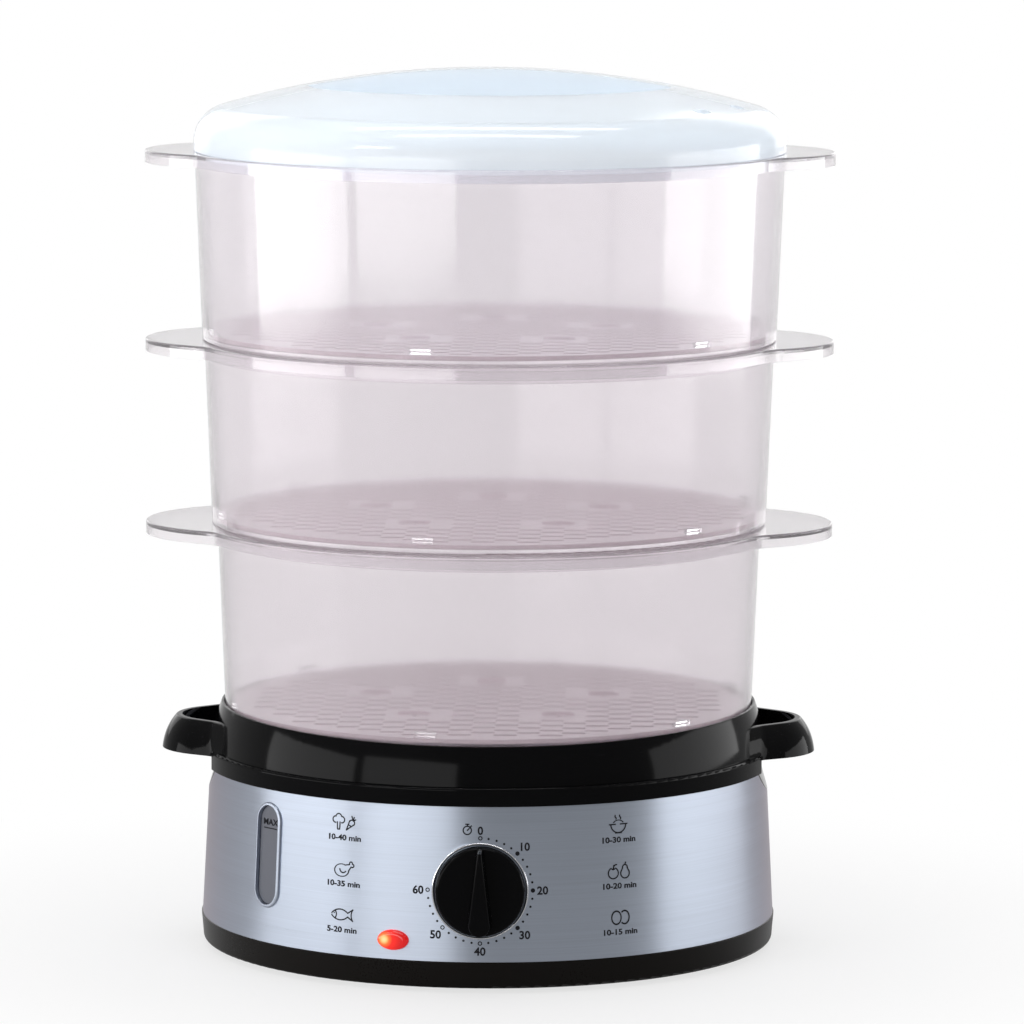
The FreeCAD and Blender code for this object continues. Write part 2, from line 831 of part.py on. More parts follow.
def thermostat():
    top = plate_under + heater_rise
    low = top - thermostat_height
    cap = disc(thermostat_radius, low, top)
    side = (-blade_thickness / 2, blade_thickness / 2)
    blades = [block((x - blade_width / 2, x + blade_width / 2), side, low - blade_length, low)
              for x in (-thermostat_blade_pitch / 2, thermostat_blade_pitch / 2)]
    return fuse([cap, *blades])


def thermal_fuse():
    centre = plate_under + heater_rise - fuse_radius
    return Part.makeCylinder(fuse_radius, fuse_length, V(-fuse_length / 2, -fuse_place, centre), V(1, 0, 0))


def steam_ring():
    low, high = tank_floor_top, tank_floor_top + steam_ring_height
    ring = tube(steam_ring_radius, steam_ring_radius - steam_ring_wall, low, high)
    bead_inner = steam_ring_radius - steam_ring_wall / 2
    bead = tube(steam_ring_radius + steam_bead, bead_inner, high - steam_bead_height, high)
    half = steam_arch_width / 2
    arches = []
    for i in range(steam_arches):
        arch = block((0, 2 * steam_ring_radius), (-half, half), low, low + steam_arch_height)
        arches.append(turned_copy(arch, (i + 0.5) * 360 / steam_arches))
    return fuse([ring, bead]).cut(Part.makeCompound(arches))


# ---------------------------------------------------------------- drip tray
def drip_tray():
    outer = mouth_radius - tray_gap
    bowl = shelf_radius - tray_gap
    low = tray_top - tray_depth
    inner = bowl - tray_wall
    body = turned([
        (0, low), (bowl, low, tray_round), (bowl, tray_top - tray_flange), (outer, tray_top - tray_flange),
        (outer, tray_top, tray_edge_round), (inner, tray_top),
        (inner, low + tray_wall, tray_round - tray_wall), (0, low + tray_wall),
    ])
    chimneys = [(chimney_radius, 0.0, 0.0)]
    for i in range(small_chimneys):
        angle = (i + 0.5) * 360 / small_chimneys
        chimneys.append((small_chimney_radius, *polar(small_chimney_circle, angle)))
    high = low + chimney_height
    stacks = [disc(radius, low, high, x, y) for radius, x, y in chimneys]
    holes = [disc(radius - tray_wall, low, high, x, y) for radius, x, y in chimneys]
    return fuse([body, *stacks]).cut(Part.makeCompound(holes))


# ---------------------------------------------------------------- dial, knob and timer
def knob_ring():
    inner = knob_radius + knob_ring_gap
    ring = tube(inner + knob_ring_width, inner, -cutter, knob_ring_proud)
    ring = ring.makeFillet(knob_ring_round, top_edges(ring, knob_ring_proud))
    return on_panel(ring, 0, dial_height).cut(steel_core())


def fin_outline(grow, height):
    """Tapered fin in plan: a narrow tip up at the rim, a broad round end below."""
    tip, end = knob_fin_tip + grow, knob_fin_end + grow
    reach = knob_radius - knob_fin_setback + grow
    high, low = V(0, reach - tip, height), V(0, -(reach - end), height)
    span = high.y - low.y
    slope = math.asin((end - tip) / span)
    cos, sin = math.cos(slope), math.sin(slope)
    right_high = high + V(tip * cos, tip * sin, 0)
    left_high = high + V(-tip * cos, tip * sin, 0)
    right_low = low + V(end * cos, end * sin, 0)
    left_low = low + V(-end * cos, end * sin, 0)
    return Part.Wire([
        Part.Arc(right_high, high + V(0, tip, 0), left_high).toShape(),
        Part.LineSegment(left_high, left_low).toShape(),
        Part.Arc(left_low, low + V(0, -end, 0), right_low).toShape(),
        Part.LineSegment(right_low, right_high).toShape(),
    ])


def timer_knob():
    face = knob_gap + knob_disc
    top = face + knob_fin_height
    cap = turned([
        (0, knob_gap), (knob_radius - knob_foot_setback, knob_gap),
        (knob_radius, knob_gap + knob_foot_height, knob_foot_round),
        (knob_radius - knob_face_setback, face, knob_face_round), (0, face),
    ])
    fin_foot = knob_gap + knob_wall
    fin = Part.makeLoft([fin_outline(knob_fin_draft, fin_foot), fin_outline(-knob_fin_draft, top)], True)
    fin = fin.makeFillet(knob_fin_round, top_edges(fin, top))
    hollow = tube(knob_radius - knob_foot_setback - knob_wall, shaft_radius + 2 * knob_wall,
                  knob_gap, face - knob_wall)
    knob = fuse([cap, fin]).cut(hollow).cut(d_shaft(0, face))
    return on_panel(knob, 0, dial_height)


def d_shaft(low, high):
    """Round bar with one flat, about Z."""
    far = 2 * shaft_radius
    return disc(shaft_radius, low, high).cut(block((-far, far), (shaft_radius - shaft_flat, far), low, high))


def timer_shaft():
    flat_end = -bracket_setback
    round_end = timer_front - shaft_depth
    shaft = fuse([d_shaft(flat_end, knob_gap + knob_disc), disc(shaft_radius, round_end, flat_end)])
    return on_panel(shaft, 0, dial_height)


def timer_screw_places():
    """Where the timer's screws are, from the shaft."""
    return (-timer_screw_x, timer_screw_y), (timer_screw_x, timer_screw_y)


def timer_blade_places():
    """Where the lower ends of the timer's two blades are, from the shaft's place on the steel: x, y, z."""
    low = -timer_tall / 2 - blade_length
    back = timer_rear + timer_blade_setback
    return (-timer_blade_pitch / 2, low, back), (timer_blade_pitch / 2, low, back)


def timer_body():
    half, rise = timer_width / 2, timer_tall / 2
    corners = ((-half, -rise), (half, -rise), (half, rise), (-half, rise))
    case = slab([(x, y, timer_corner) for x, y in corners], timer_rear, timer_front)
    post = disc(bell_post_radius, timer_rear - bell_depth + bell_wall, timer_rear)
    blades = [block((x - blade_width / 2, x + blade_width / 2), (low, -rise), back, back + blade_thickness)
              for x, low, back in timer_blade_places()]
    holes = [disc(small_screw_radius, timer_front - small_screw_length, timer_front, x, y)
             for x, y in timer_screw_places()]
    holes.append(disc(shaft_radius + shaft_play, timer_front - shaft_depth - bell_gap, timer_front))
    return on_panel(fuse([case, post, *blades]).cut(Part.makeCompound(holes)), 0, dial_height)


def timer_bell():
    low, high = timer_rear - bell_depth, timer_rear - bell_gap
    eye = bell_post_radius + fit
    cup = turned([
        (eye, low), (bell_foot_radius, low, bell_round), (bell_radius, high), (bell_radius - bell_wall, high),
        (bell_foot_radius - bell_wall, low + bell_wall, bell_round - bell_wall), (eye, low + bell_wall),
    ])
    return on_panel(cup, 0, dial_height)


def bracket_screw_places():
    """Where the bracket's screws go through the floor."""
    y = bracket_screw_setback - bracket_reach
    return (-bracket_screw_x, y), (bracket_screw_x, y)


def timer_bracket():
    half = bracket_width / 2
    low, high = timer_front, -bracket_setback
    head = [(x, bracket_above, bracket_corner) for x in (half, -half)]
    wall = slab([(-half, -dial_height), (half, -dial_height), *head], low, high)
    holes = [disc(small_screw_radius, low, high, x, y) for x, y in timer_screw_places()]
    holes.append(disc(shaft_radius + bracket_hole_play, low, high))
    wall = on_panel(wall.cut(Part.makeCompound(holes)), 0, dial_height)
    far = (-2 * band_radius, 2 * band_radius)
    wall = wall.cut(block(far, far, -cutter, floor_top))
    front = -bracket_reach + fit
    sole_top = floor_top + bracket_thickness
    sole = block((-half, half), (front, front + bracket_foot), floor_top, sole_top)
    holes = [disc(small_screw_radius, floor_top, sole_top, x, y) for x, y in bracket_screw_places()]
    return fuse([wall, sole.cut(Part.makeCompound(holes))])


def small_screw():
    """Small screw that points up, its head's seat at the origin."""
    return screw(small_screw_radius, small_screw_head_radius, small_screw_head, small_screw_length)


def timer_screws():
    screws = []
    for x, y in timer_screw_places():
        one = small_screw()
        one.rotate(V(0, 0, 0), V(1, 0, 0), 180)
        one.translate(V(x, y, -bracket_setback))
        screws.append(on_panel(one, 0, dial_height))
    return screws


def bracket_screws():
    screws = []
    for x, y in bracket_screw_places():
        one = small_screw()
        one.translate(V(x, y, floor_low))
        screws.append(one)
    return screws


# ---------------------------------------------------------------- lamp
def lamp_oval(inset, low, high):
    """Flat oval prism, the lamp's outline moved in, wider than it is tall."""
    wide = Part.Ellipse(V(0, 0, low), lamp_width / 2 - inset, lamp_tall / 2 - inset)
    return Part.Face(Part.Wire(wide.toShape())).extrude(V(0, 0, high - low))


def indicator_lens():
    cap = lamp_oval(0, -cutter, lamp_proud)
    cap = cap.makeFillet(lamp_round, top_edges(cap, lamp_proud))
    cap = on_panel(cap, lamp_angle, lamp_height).cut(steel_core())
    neck = on_panel(lamp_oval(lamp_neck_inset, -lamp_neck, lamp_edge), lamp_angle, lamp_height)
    bulb_hole = disc(lamp_tall / 2 - lamp_neck_inset - lamp_neck_wall, -lamp_neck, -steel_thickness)
    return fuse([cap, neck]).cut(on_panel(bulb_hole, lamp_angle, lamp_height))


def neon_lamp():
    glass = disc(neon_glass_radius, -lamp_neck, -steel_thickness - neon_gap)
    base = disc(neon_radius, -lamp_neck - neon_behind, -lamp_neck)
    return on_panel(fuse([glass, base]), lamp_angle, lamp_height)


# ---------------------------------------------------------------- cord inlet
def cord_gland():
    nose = turned([
        (gland_bore_radius, -cutter), (gland_flange_radius, -cutter),
        (gland_flange_radius, gland_flange, gland_round), (gland_nose_radius, gland_flange, gland_round),
        (gland_tip_radius, gland_nose, gland_round), (gland_bore_radius, gland_nose),
    ])
    nose = on_panel(nose, 180, gland_height).cut(steel_core())
    inner_end = -steel_thickness - gland_inner
    neck = on_panel(tube(gland_neck_radius, gland_bore_radius, inner_end, fit), 180, gland_height)
    back = on_panel(tube(gland_inner_radius, gland_bore_radius, inner_end, 0), 180, gland_height)
    return fuse([nose, neck, back.common(steel_core(steel_thickness))])


def cord_clamp():
    half = cord_clamp_width / 2
    y = (cord_clamp_circle - half, cord_clamp_circle + half)
    x = (-cord_clamp_half, cord_clamp_half)
    strap_top = gland_height + cord_clamp_thickness
    strap = block(x, y, gland_height, strap_top)
    start, along = V(0, y[0], gland_height), V(0, 1, 0)
    arch = Part.makeCylinder(gland_bore_radius + cord_clamp_thickness, cord_clamp_width, start, along)
    hollow = Part.makeCylinder(gland_bore_radius, cord_clamp_width, start, along)
    below = block(x, y, floor_top, gland_height)
    holes = [disc(small_screw_radius, gland_height, strap_top, side, cord_clamp_circle)
             for side in (-cord_post_offset, cord_post_offset)]
    return fuse([strap, arch]).cut(Part.makeCompound([hollow, *holes])).cut(below)


def clamp_screws():
    screws = []
    for x in (-cord_post_offset, cord_post_offset):
        one = small_screw()
        one.rotate(V(0, 0, 0), V(1, 0, 0), 180)
        one.translate(V(x, cord_clamp_circle, gland_height + cord_clamp_thickness))
        screws.append(one)
    return screws


# ---------------------------------------------------------------- electrics on the floor
def terminal_block():
    x, y = block_place
    top = floor_top + block_height
    left = x - block_length / 2
    body = block((left, left + block_length), (y - block_width / 2, y + block_width / 2), floor_top, top)
    pitch = block_length / block_poles
    cuts = []
    for i in range(block_poles):
        pole = left + (i + 0.5) * pitch
        for offset in (-block_screw_offset, block_screw_offset):
            cuts.append(disc(block_screw_radius, top - block_screw_depth, top, pole, y + offset))
    for i in range(1, block_poles):
        notch = (left + i * pitch - block_notch / 2, left + i * pitch + block_notch / 2)
        cuts.append(block(notch, (y - block_width, y + block_width), top - block_notch_depth, top))
    return body.cut(Part.makeCompound(cuts))


def wire(points):
    """Insulated wire through points, straight between them and rounded at each bend."""
    path = []
    start = V(*points[0])
    for i in range(1, len(points) - 1):
        corner = V(*points[i])
        before = V(*points[i - 1]) - corner
        after = V(*points[i + 1]) - corner
        before.normalize()
        after.normalize()
        half = before.getAngle(after) / 2
        middle = before + after
        middle.normalize()
        reach = wire_bend / math.tan(half)
        entry, leave = corner + before * reach, corner + after * reach
        nearest = corner + middle * (wire_bend / math.sin(half) - wire_bend)
        path.append(Part.LineSegment(start, entry).toShape())
        path.append(Part.Arc(entry, nearest, leave).toShape())
        start = leave
    path.append(Part.LineSegment(start, V(*points[-1])).toShape())
    heading = V(*points[1]) - V(*points[0])
    section = Part.Wire(Part.Circle(V(*points[0]), heading, wire_radius).toShape())
    return Part.Wire(path).makePipeShell([section], True, False)


def internal_wires():
    """Wires along the floor, their ends on the terminal block, timer, element, thermostat and lamp."""
    low = floor_top + wire_lift + wire_radius
    x, y = block_place
    block_end = y - block_width / 2
    pitch = block_length / block_poles
    poles = [x + (i - (block_poles - 1) / 2) * pitch for i in range(block_poles)]
    entry = floor_top + block_height / 2
    thermostat_end = plate_under + heater_rise - thermostat_height - blade_length
    element_end = plate_under + heater_rise - element_tube_radius - element_leg
    (left_x, leg_y), (right_x, _) = [polar(element_ring_radius, angle) for angle in element_leg_angles()]
    timer_ends = []
    for side, drop, back in timer_blade_places():
        timer_ends.append(panel_point(0, dial_height, side, drop, -back - blade_thickness / 2))
    (left_timer_x, timer_y, timer_end), (right_timer_x, _, _) = timer_ends
    behind_lamp = lamp_neck + neon_behind
    lamp_end = panel_point(lamp_angle, lamp_height, 0, 0, behind_lamp)
    lamp_bend = panel_point(lamp_angle, lamp_height, 0, 0, behind_lamp + 2 * wire_bend)
    block_back = y + block_width / 2
    return [
        wire([(poles[2], block_end, entry), (poles[2], block_end - 12, entry),
              (poles[2], block_end - 24, low), (poles[2], timer_y + 22, low),
              (right_timer_x, timer_y, low), (right_timer_x, timer_y, timer_end)]),
        wire([(poles[0], block_end, entry), (poles[0], block_end - 12, entry),
              (poles[0], block_end - 24, low), (34, 0, low), (4, 0, low), (4, 0, thermostat_end)]),
        wire([(right_x, leg_y, element_end), (right_x, leg_y, low), (30, block_end - 13, low),
              (poles[1], block_end - 13, low), (poles[1], block_end - 5, entry), (poles[1], block_end, entry)]),
        wire([(left_x, leg_y, element_end), (left_x, leg_y, low), (-34, 4, low), (-34, -60, low),
              (left_timer_x, timer_y, low), (left_timer_x, timer_y, timer_end)]),
        wire([lamp_end, lamp_bend, (-46, -70, low), (-46, 60, low), (-20, 86, low), (poles[0], 86, low),
              (poles[0], block_back + 8, entry), (poles[0], block_back, entry)]),
    ]


# ---------------------------------------------------------------- baskets
def rim_outline(rim_radius, inset, height):
    """Closed outline of a basket's rim with a lifting tab at each side, all moved in by the inset."""
    circle = rim_radius - inset
    tab = tab_tip_radius - inset
    blend = tab_blend_radius + inset
    centre = tab_reach - tab_tip_radius
    blend_x = ((circle + blend) ** 2 - (tab + blend) ** 2 + centre ** 2) / (2 * centre)
    blend_y = math.sqrt((circle + blend) ** 2 - blend_x ** 2)
    hub = V(blend_x, blend_y, 0)
    to_circle, to_tab = V(0, 0, 0) - hub, V(centre, 0, 0) - hub
    to_circle.normalize()
    to_tab.normalize()
    middle = to_circle + to_tab
    middle.normalize()
    on_circle, on_blend, on_tab = hub + to_circle * blend, hub + middle * blend, hub + to_tab * blend

    def at(point, sx, sy):
        return V(sx * point.x, sy * point.y, height)

    edges = []
    for sx in (1, -1):
        end = V(sx * (tab_reach - inset), 0, height)
        edges.append(Part.Arc(at(on_tab, sx, -1), end, at(on_tab, sx, 1)).toShape())
        for sy in (1, -1):
            edges.append(Part.Arc(at(on_tab, sx, sy), at(on_blend, sx, sy), at(on_circle, sx, sy)).toShape())
    for sy in (1, -1):
        side = V(0, sy * circle, height)
        edges.append(Part.Arc(at(on_circle, 1, sy), side, at(on_circle, -1, sy)).toShape())
    return Part.Wire(Part.__sortEdges__(edges))


def rim_slab(rim_radius, inset, low, high):
    """Upright prism with the outline of a rim."""
    return Part.Face(rim_outline(rim_radius, inset, low)).extrude(V(0, 0, high - low))


def basket_sizes():
    """Seat, foot radius, top radius, rim radius, skirt radius and rim height of each basket, lowest first."""
    sizes = []
    seat, foot = first_seat, mouth_radius - basket_gap
    skirt = shelf_radius - tray_gap - tray_wall - skirt_gap - tray_gap
    for i, height in enumerate(basket_heights):
        top = foot + height * math.tan(draft)
        rim_top = seat + height
        sizes.append((seat, foot, top, top + rim_overhangs[i], skirt, rim_top))
        if i < len(tier_steps):
            foot = top + tier_steps[i]
        skirt = top - basket_wall - skirt_depth * math.tan(draft) - skirt_gap
        seat = rim_top + basket_stack_gap
    return sizes


def clips(foot, sill_top):
    """Small nibs inside the wall that hold the slotted floor down."""
    low = sill_top + grid_thickness + clip_gap
    nibs = []
    inner = foot - basket_wall
    for i in range(clip_count):
        nib = block((inner - clip_proud, inner + basket_wall / 2), (-clip_width / 2, clip_width / 2),
                    low, low + clip_height)
        ridge = [edge for edge in nib.Edges if edge.BoundBox.XMax < inner - clip_proud + near
                 and edge.BoundBox.YLength > clip_width / 2]
        nib = nib.makeChamfer(clip_chamfer, ridge)
        nibs.append(turned_copy(nib, clip_first_angle + i * 360 / clip_count))
    return nibs


def basket(sizes):
    seat, foot, top, rim_radius, skirt, rim_top = sizes
    sill_top = seat + basket_sill
    inner_foot = foot - basket_wall
    shell = turned([
        (skirt, seat - skirt_depth), (skirt, seat), (foot, seat, basket_foot_round), (top, rim_top),
        (top - basket_wall, rim_top), (inner_foot + basket_sill * math.tan(draft), sill_top),
        (skirt - basket_wall, sill_top, basket_sill_round), (skirt - basket_wall, seat - skirt_depth),
    ])
    plate = rim_slab(rim_radius, 0, rim_top - rim_depth, rim_top)
    plate = plate.makeFillet(rim_round, top_edges(plate, rim_top))
    under = rim_slab(rim_radius, rim_lip, rim_top - rim_depth, rim_top - rim_plate)
    mouth = Part.makeCone(inner_foot, top - basket_wall, rim_top - seat, V(0, 0, seat))
    plate = plate.cut(under).cut(mouth)
    return fuse([shell, plate, *clips(foot, sill_top)])


def slot_rows(radius):
    """Slots in staggered rows that cover a round floor, clear of its border and of the egg seats."""
    slots = []
    limit = radius - grid_border
    rows = int(limit / slot_row_pitch)
    seats = [polar(egg_seat_circle, 270 + 180 / egg_seats + i * 360 / egg_seats) for i in range(egg_seats)]
    clear = egg_seat_radius + slot_length / 2 + slot_margin
    for row in range(-rows, rows + 1):
        y = row * slot_row_pitch
        shift = slot_pitch / 2 if row % 2 else 0.0
        columns = int(limit / slot_pitch) + 1
        for column in range(-columns, columns + 1):
            x = column * slot_pitch + shift
            if math.hypot(abs(x) + slot_length / 2, abs(y) + slot_width / 2) > limit:
                continue
            if any(abs(y - sy) < egg_seat_radius + slot_width and abs(x - sx) < clear for sx, sy in seats):
                continue
            slots.append((x, y))
    return slots, seats


def floor_grid(sizes):
    seat, foot = sizes[0], sizes[1]
    low = seat + basket_sill
    high = low + grid_thickness
    radius = foot - basket_wall - grid_gap
    plate = disc(radius, low, high)
    slots, seats = slot_rows(radius)
    template = oval(slot_width, slot_length, low, high)
    template.rotate(V(0, 0, 0), UP, 90)
    cuts = []
    for x, y in slots:
        slot = template.copy()
        slot.translate(V(x, y, 0))
        cuts.append(slot)
    for x, y in seats:
        floor = V(x, y, high - egg_seat_depth)
        cuts.append(Part.makeCone(egg_seat_radius - egg_seat_depth, egg_seat_radius, egg_seat_depth, floor))
        cuts.append(disc(egg_hole_radius, low, high - egg_seat_depth, x, y))
    return plate.cut(Part.makeCompound(cuts))


# ---------------------------------------------------------------- lid
def crown_radius(radius, rise, knuckle):
    """Radius of the dome's shallow top, which meets the tighter curve at its edge."""
    return ((radius - knuckle) ** 2 + rise ** 2 - knuckle ** 2) / (2 * (rise - knuckle))


def dome(radius, low, crest, rise, knuckle):
    """Solid dome: an upright edge from low, a tight curve, and a shallow crown up to the crest."""
    spring = crest - rise
    crown = crown_radius(radius, rise, knuckle)
    hub = V(radius - knuckle, 0, spring)
    centre = V(0, 0, crest - crown)
    outward = hub - centre
    outward.normalize()
    meeting = centre + outward * crown
    upper = outward + UP
    upper.normalize()
    lower = outward + V(1, 0, 0)
    lower.normalize()
    top, edge, foot, root = V(0, 0, crest), V(radius, 0, spring), V(radius, 0, low), V(0, 0, low)
    edges = [
        Part.Arc(top, centre + upper * crown, meeting).toShape(),
        Part.Arc(meeting, hub + lower * knuckle, edge).toShape(),
        Part.LineSegment(edge, foot).toShape(),
        Part.LineSegment(foot, root).toShape(),
        Part.LineSegment(root, top).toShape(),
    ]
    return Part.Face(Part.Wire(edges)).revolve(V(0, 0, 0), UP, 360)


def grip(inset, low, high):
    """Upright bar along X, wider at its foot, its faces moved in by the inset."""
    top, foot = grip_width / 2 - inset, grip_width / 2 + grip_spread - inset
    reach = 2 * dish_radius
    section = [V(-reach, -foot, low), V(-reach, foot, low), V(-reach, top, high), V(-reach, -top, high)]
    return Part.Face(Part.makePolygon([*section, section[0]])).extrude(V(2 * reach, 0, 0))


def lid():
    sizes = basket_sizes()[-1]
    rim_top, mouth = sizes[5], sizes[2] - basket_wall
    low = rim_top + basket_stack_gap
    radius = sizes[3] - lid_setback
    crest = low + lid_edge + lid_rise
    crown = crown_radius(radius, lid_rise, lid_knuckle)
    dish_floor = crest - crown + math.sqrt(crown ** 2 - dish_radius ** 2) - dish_depth
    high = crest + lid_wall
    taper = (dish_radius - dish_foot_radius) / dish_depth

    def dish(out, down):
        foot = dish_floor - down
        tall = high - foot
        start = dish_foot_radius + out
        return Part.makeCone(start, start + taper * tall, tall, V(0, 0, foot))

    wall = lid_wall
    outer = dome(radius, low, crest, lid_rise, lid_knuckle)
    inner = dome(radius - wall, low - cutter, crest - wall, lid_rise - wall, lid_knuckle - wall)
    pocket = dish(0, 0).cut(grip(0, dish_floor, high))
    pocket_under = dish(lid_wall, lid_wall).cut(grip(lid_wall, dish_floor - lid_wall, crest - lid_wall))
    shell = outer.cut(pocket).cut(inner.cut(pocket_under))
    skirt_top = low + lid_wall
    skirt = mouth - lid_skirt * math.tan(draft) - lid_skirt_gap
    sill = tube(radius, skirt - lid_wall, low, skirt_top)
    drop = tube(skirt, skirt - lid_wall, low - lid_skirt, skirt_top)
    vents = []
    for angle in vent_angles:
        hole = oval(vent_width, vent_length, low + lid_edge, high)
        hole.translate(V(0, -vent_circle, 0))
        hole.rotate(V(0, -vent_circle, 0), UP, 90)
        vents.append(turned_copy(hole, angle))
    return fuse([shell, sill, drop]).cut(Part.makeCompound(vents))


# ---------------------------------------------------------------- the whole steamer
def main():
    os.makedirs("parts", exist_ok=True)
    save("bottom_cover", bottom_cover())
    save("rubber_feet", *rubber_feet())
    save("bottom_screws", *bottom_screws())
    save("steel_band", steel_band())
    save("collar", collar())
    save("right_handle", right_handle())
    save("left_handle", turned_copy(right_handle(), 180))
    save("water_tank", water_tank())
    save("gauge_window", gauge_window())
    save("gauge_seal", gauge_seal())
    save("heater_plate", heater_plate())
    save("heater_seal", heater_seal())
    save("heating_element", heating_element())
    save("heater_clamp", heater_clamp())
    save("heater_nuts", *heater_nuts())
    save("thermostat", thermostat())
    save("thermal_fuse", thermal_fuse())
    save("steam_ring", steam_ring())
    save("drip_tray", drip_tray())
    save("knob_ring", knob_ring())
    save("timer_knob", timer_knob())
    save("timer_shaft", timer_shaft())
    save("timer_body", timer_body())
    save("timer_bell", timer_bell())
    save("timer_bracket", timer_bracket())
    save("timer_screws", *timer_screws())
    save("bracket_screws", *bracket_screws())
    save("indicator_lens", indicator_lens())
    save("neon_lamp", neon_lamp())
    save("cord_gland", cord_gland())
    save("cord_clamp", cord_clamp())
    save("clamp_screws", *clamp_screws())
    save("terminal_block", terminal_block())
    save("internal_wires", *internal_wires())
    for name, sizes in zip(basket_names, basket_sizes()):
        save(name + "_basket", basket(sizes))
        save(name + "_floor_grid", floor_grid(sizes))
    save("lid", lid())


main()
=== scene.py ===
"""Looks of the electric food steamer, laid out as an add-on: its finishes, its printed marks and its stage.

Metres, +Z up, the dial towards -Y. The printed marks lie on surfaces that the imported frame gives.
"""

import json
import math

import bmesh
import bpy
from bpy.props import FloatProperty, FloatVectorProperty, PointerProperty
from bpy.types import Operator, Panel, PropertyGroup
from mathutils import Matrix, Vector


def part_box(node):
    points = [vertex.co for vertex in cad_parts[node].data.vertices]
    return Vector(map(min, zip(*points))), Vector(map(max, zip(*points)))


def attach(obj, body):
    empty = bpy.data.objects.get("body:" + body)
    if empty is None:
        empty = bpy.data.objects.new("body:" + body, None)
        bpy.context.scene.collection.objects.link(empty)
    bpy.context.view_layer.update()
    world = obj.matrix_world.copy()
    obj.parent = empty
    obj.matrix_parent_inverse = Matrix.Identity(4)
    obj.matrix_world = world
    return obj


bl_info = {
    "name": "Food Steamer",
    "version": (1, 0, 0),
    "blender": (4, 5, 0),
    "location": "3D View > Sidebar > Steamer",
    "description": "Finishes, printed marks and stage of a three-basket electric food steamer",
    "category": "Object",
}

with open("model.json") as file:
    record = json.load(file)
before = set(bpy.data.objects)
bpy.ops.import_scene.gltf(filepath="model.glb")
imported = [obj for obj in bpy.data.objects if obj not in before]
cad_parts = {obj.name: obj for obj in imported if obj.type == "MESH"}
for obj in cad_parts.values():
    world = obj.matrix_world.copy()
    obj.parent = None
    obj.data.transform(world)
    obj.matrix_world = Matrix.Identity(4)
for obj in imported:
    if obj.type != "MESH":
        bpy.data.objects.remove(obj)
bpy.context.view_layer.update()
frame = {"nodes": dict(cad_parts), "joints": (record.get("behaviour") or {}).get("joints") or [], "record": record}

MM = 0.001
VECTOR, NUMBER = "NodeSocketVector", "NodeSocketFloat"
WHITE = (1.0, 1.0, 1.0, 1.0)
CAPITAL_HEIGHT = 0.729  # of the built-in face, at a size of one

# ---------------------------------------------------------------- places that the frame gives
dial_turn = next(joint for joint in frame["joints"] if joint["name"] == "timer_turn")
dial_place = Vector(dial_turn["pos_m"])
band_lean = math.atan2(-dial_turn["axis"][2], dial_turn["axis"][1])


def band_surface(height):
    """Outer radius of the steel band at a height."""
    return -dial_place.y - (height - dial_place.z) * math.tan(band_lean)


def on_panel(angle, height):
    """Matrix of a place on the steel band: Z along the outward normal, Y up the steel.

    The angle is counted from the front, towards +X.
    """
    radius = band_surface(height)
    place = Vector((radius * math.sin(angle), -radius * math.cos(angle), height))
    spin = Matrix.Rotation(angle, 4, "Z")
    tilt = Matrix.Rotation(math.pi / 2 - band_lean, 4, "X")
    return Matrix.Translation(place) @ spin @ tilt


def panel_before(node):
    """Matrix of the place on the steel band straight before a CAD node's middle, as on_panel gives it."""
    low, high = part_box(node)
    middle = (low + high) / 2
    return on_panel(math.atan2(middle.x, -middle.y), middle.z)


def on_face(node):
    """Matrix of the middle of the face that a node shows in the steel band, as on_panel gives it."""
    well_clear = 50 * MM
    matrix = panel_before(node)
    outside = matrix @ Vector((0, 0, well_clear))
    inwards = matrix.to_3x3() @ Vector((0, 0, -1))
    hit, place, *_ = frame["nodes"][node].ray_cast(outside, inwards)
    if not hit:
        raise RuntimeError(f"{node} shows no face in the band")
    matrix.translation = place
    return matrix


# ---------------------------------------------------------------- sizes and colours for a user to change
class SteamerPrint(PropertyGroup):
    """Printed marks on the steel band and on the water window"""

    ink: FloatVectorProperty(
        name="Ink", description="Colour of the printed marks",
        default=(0.010, 0.010, 0.014), size=3, subtype="COLOR", min=0.0, max=1.0)
    ink_depth: FloatProperty(
        name="Ink depth", description="How far the ink stands proud of what it is printed on",
        default=0.05 * MM, unit="LENGTH")
    figure_height: FloatProperty(
        name="Figure height", description="Height of the dial's figures",
        default=3.5 * MM, unit="LENGTH")
    figure_circle: FloatProperty(
        name="Figure circle", description="Radius of the circle that the dial's figures stand on",
        default=26.6 * MM, unit="LENGTH")
    dot_circle: FloatProperty(
        name="Dot circle", description="Radius of the circle that the dial's dots stand on",
        default=22.4 * MM, unit="LENGTH")
    dot_radius: FloatProperty(
        name="Dot radius", description="Radius of the dot at each figure",
        default=0.95 * MM, unit="LENGTH")
    small_dot_radius: FloatProperty(
        name="Small dot radius", description="Radius of the dots between the figures",
        default=0.5 * MM, unit="LENGTH")
    picture_angle: FloatProperty(
        name="Picture angle", description="How far round the band each column of food pictures is",
        default=math.radians(28.2), subtype="ANGLE")
    label_height: FloatProperty(
        name="Label height", description="Height of the figures under the food pictures",
        default=2.45 * MM, unit="LENGTH")
    label_width: FloatProperty(
        name="Label width", description="How many times wider than usual those figures are",
        default=1.22, min=0.1)
    stroke: FloatProperty(
        name="Stroke", description="Width of the lines of the food pictures",
        default=0.56 * MM, unit="LENGTH")


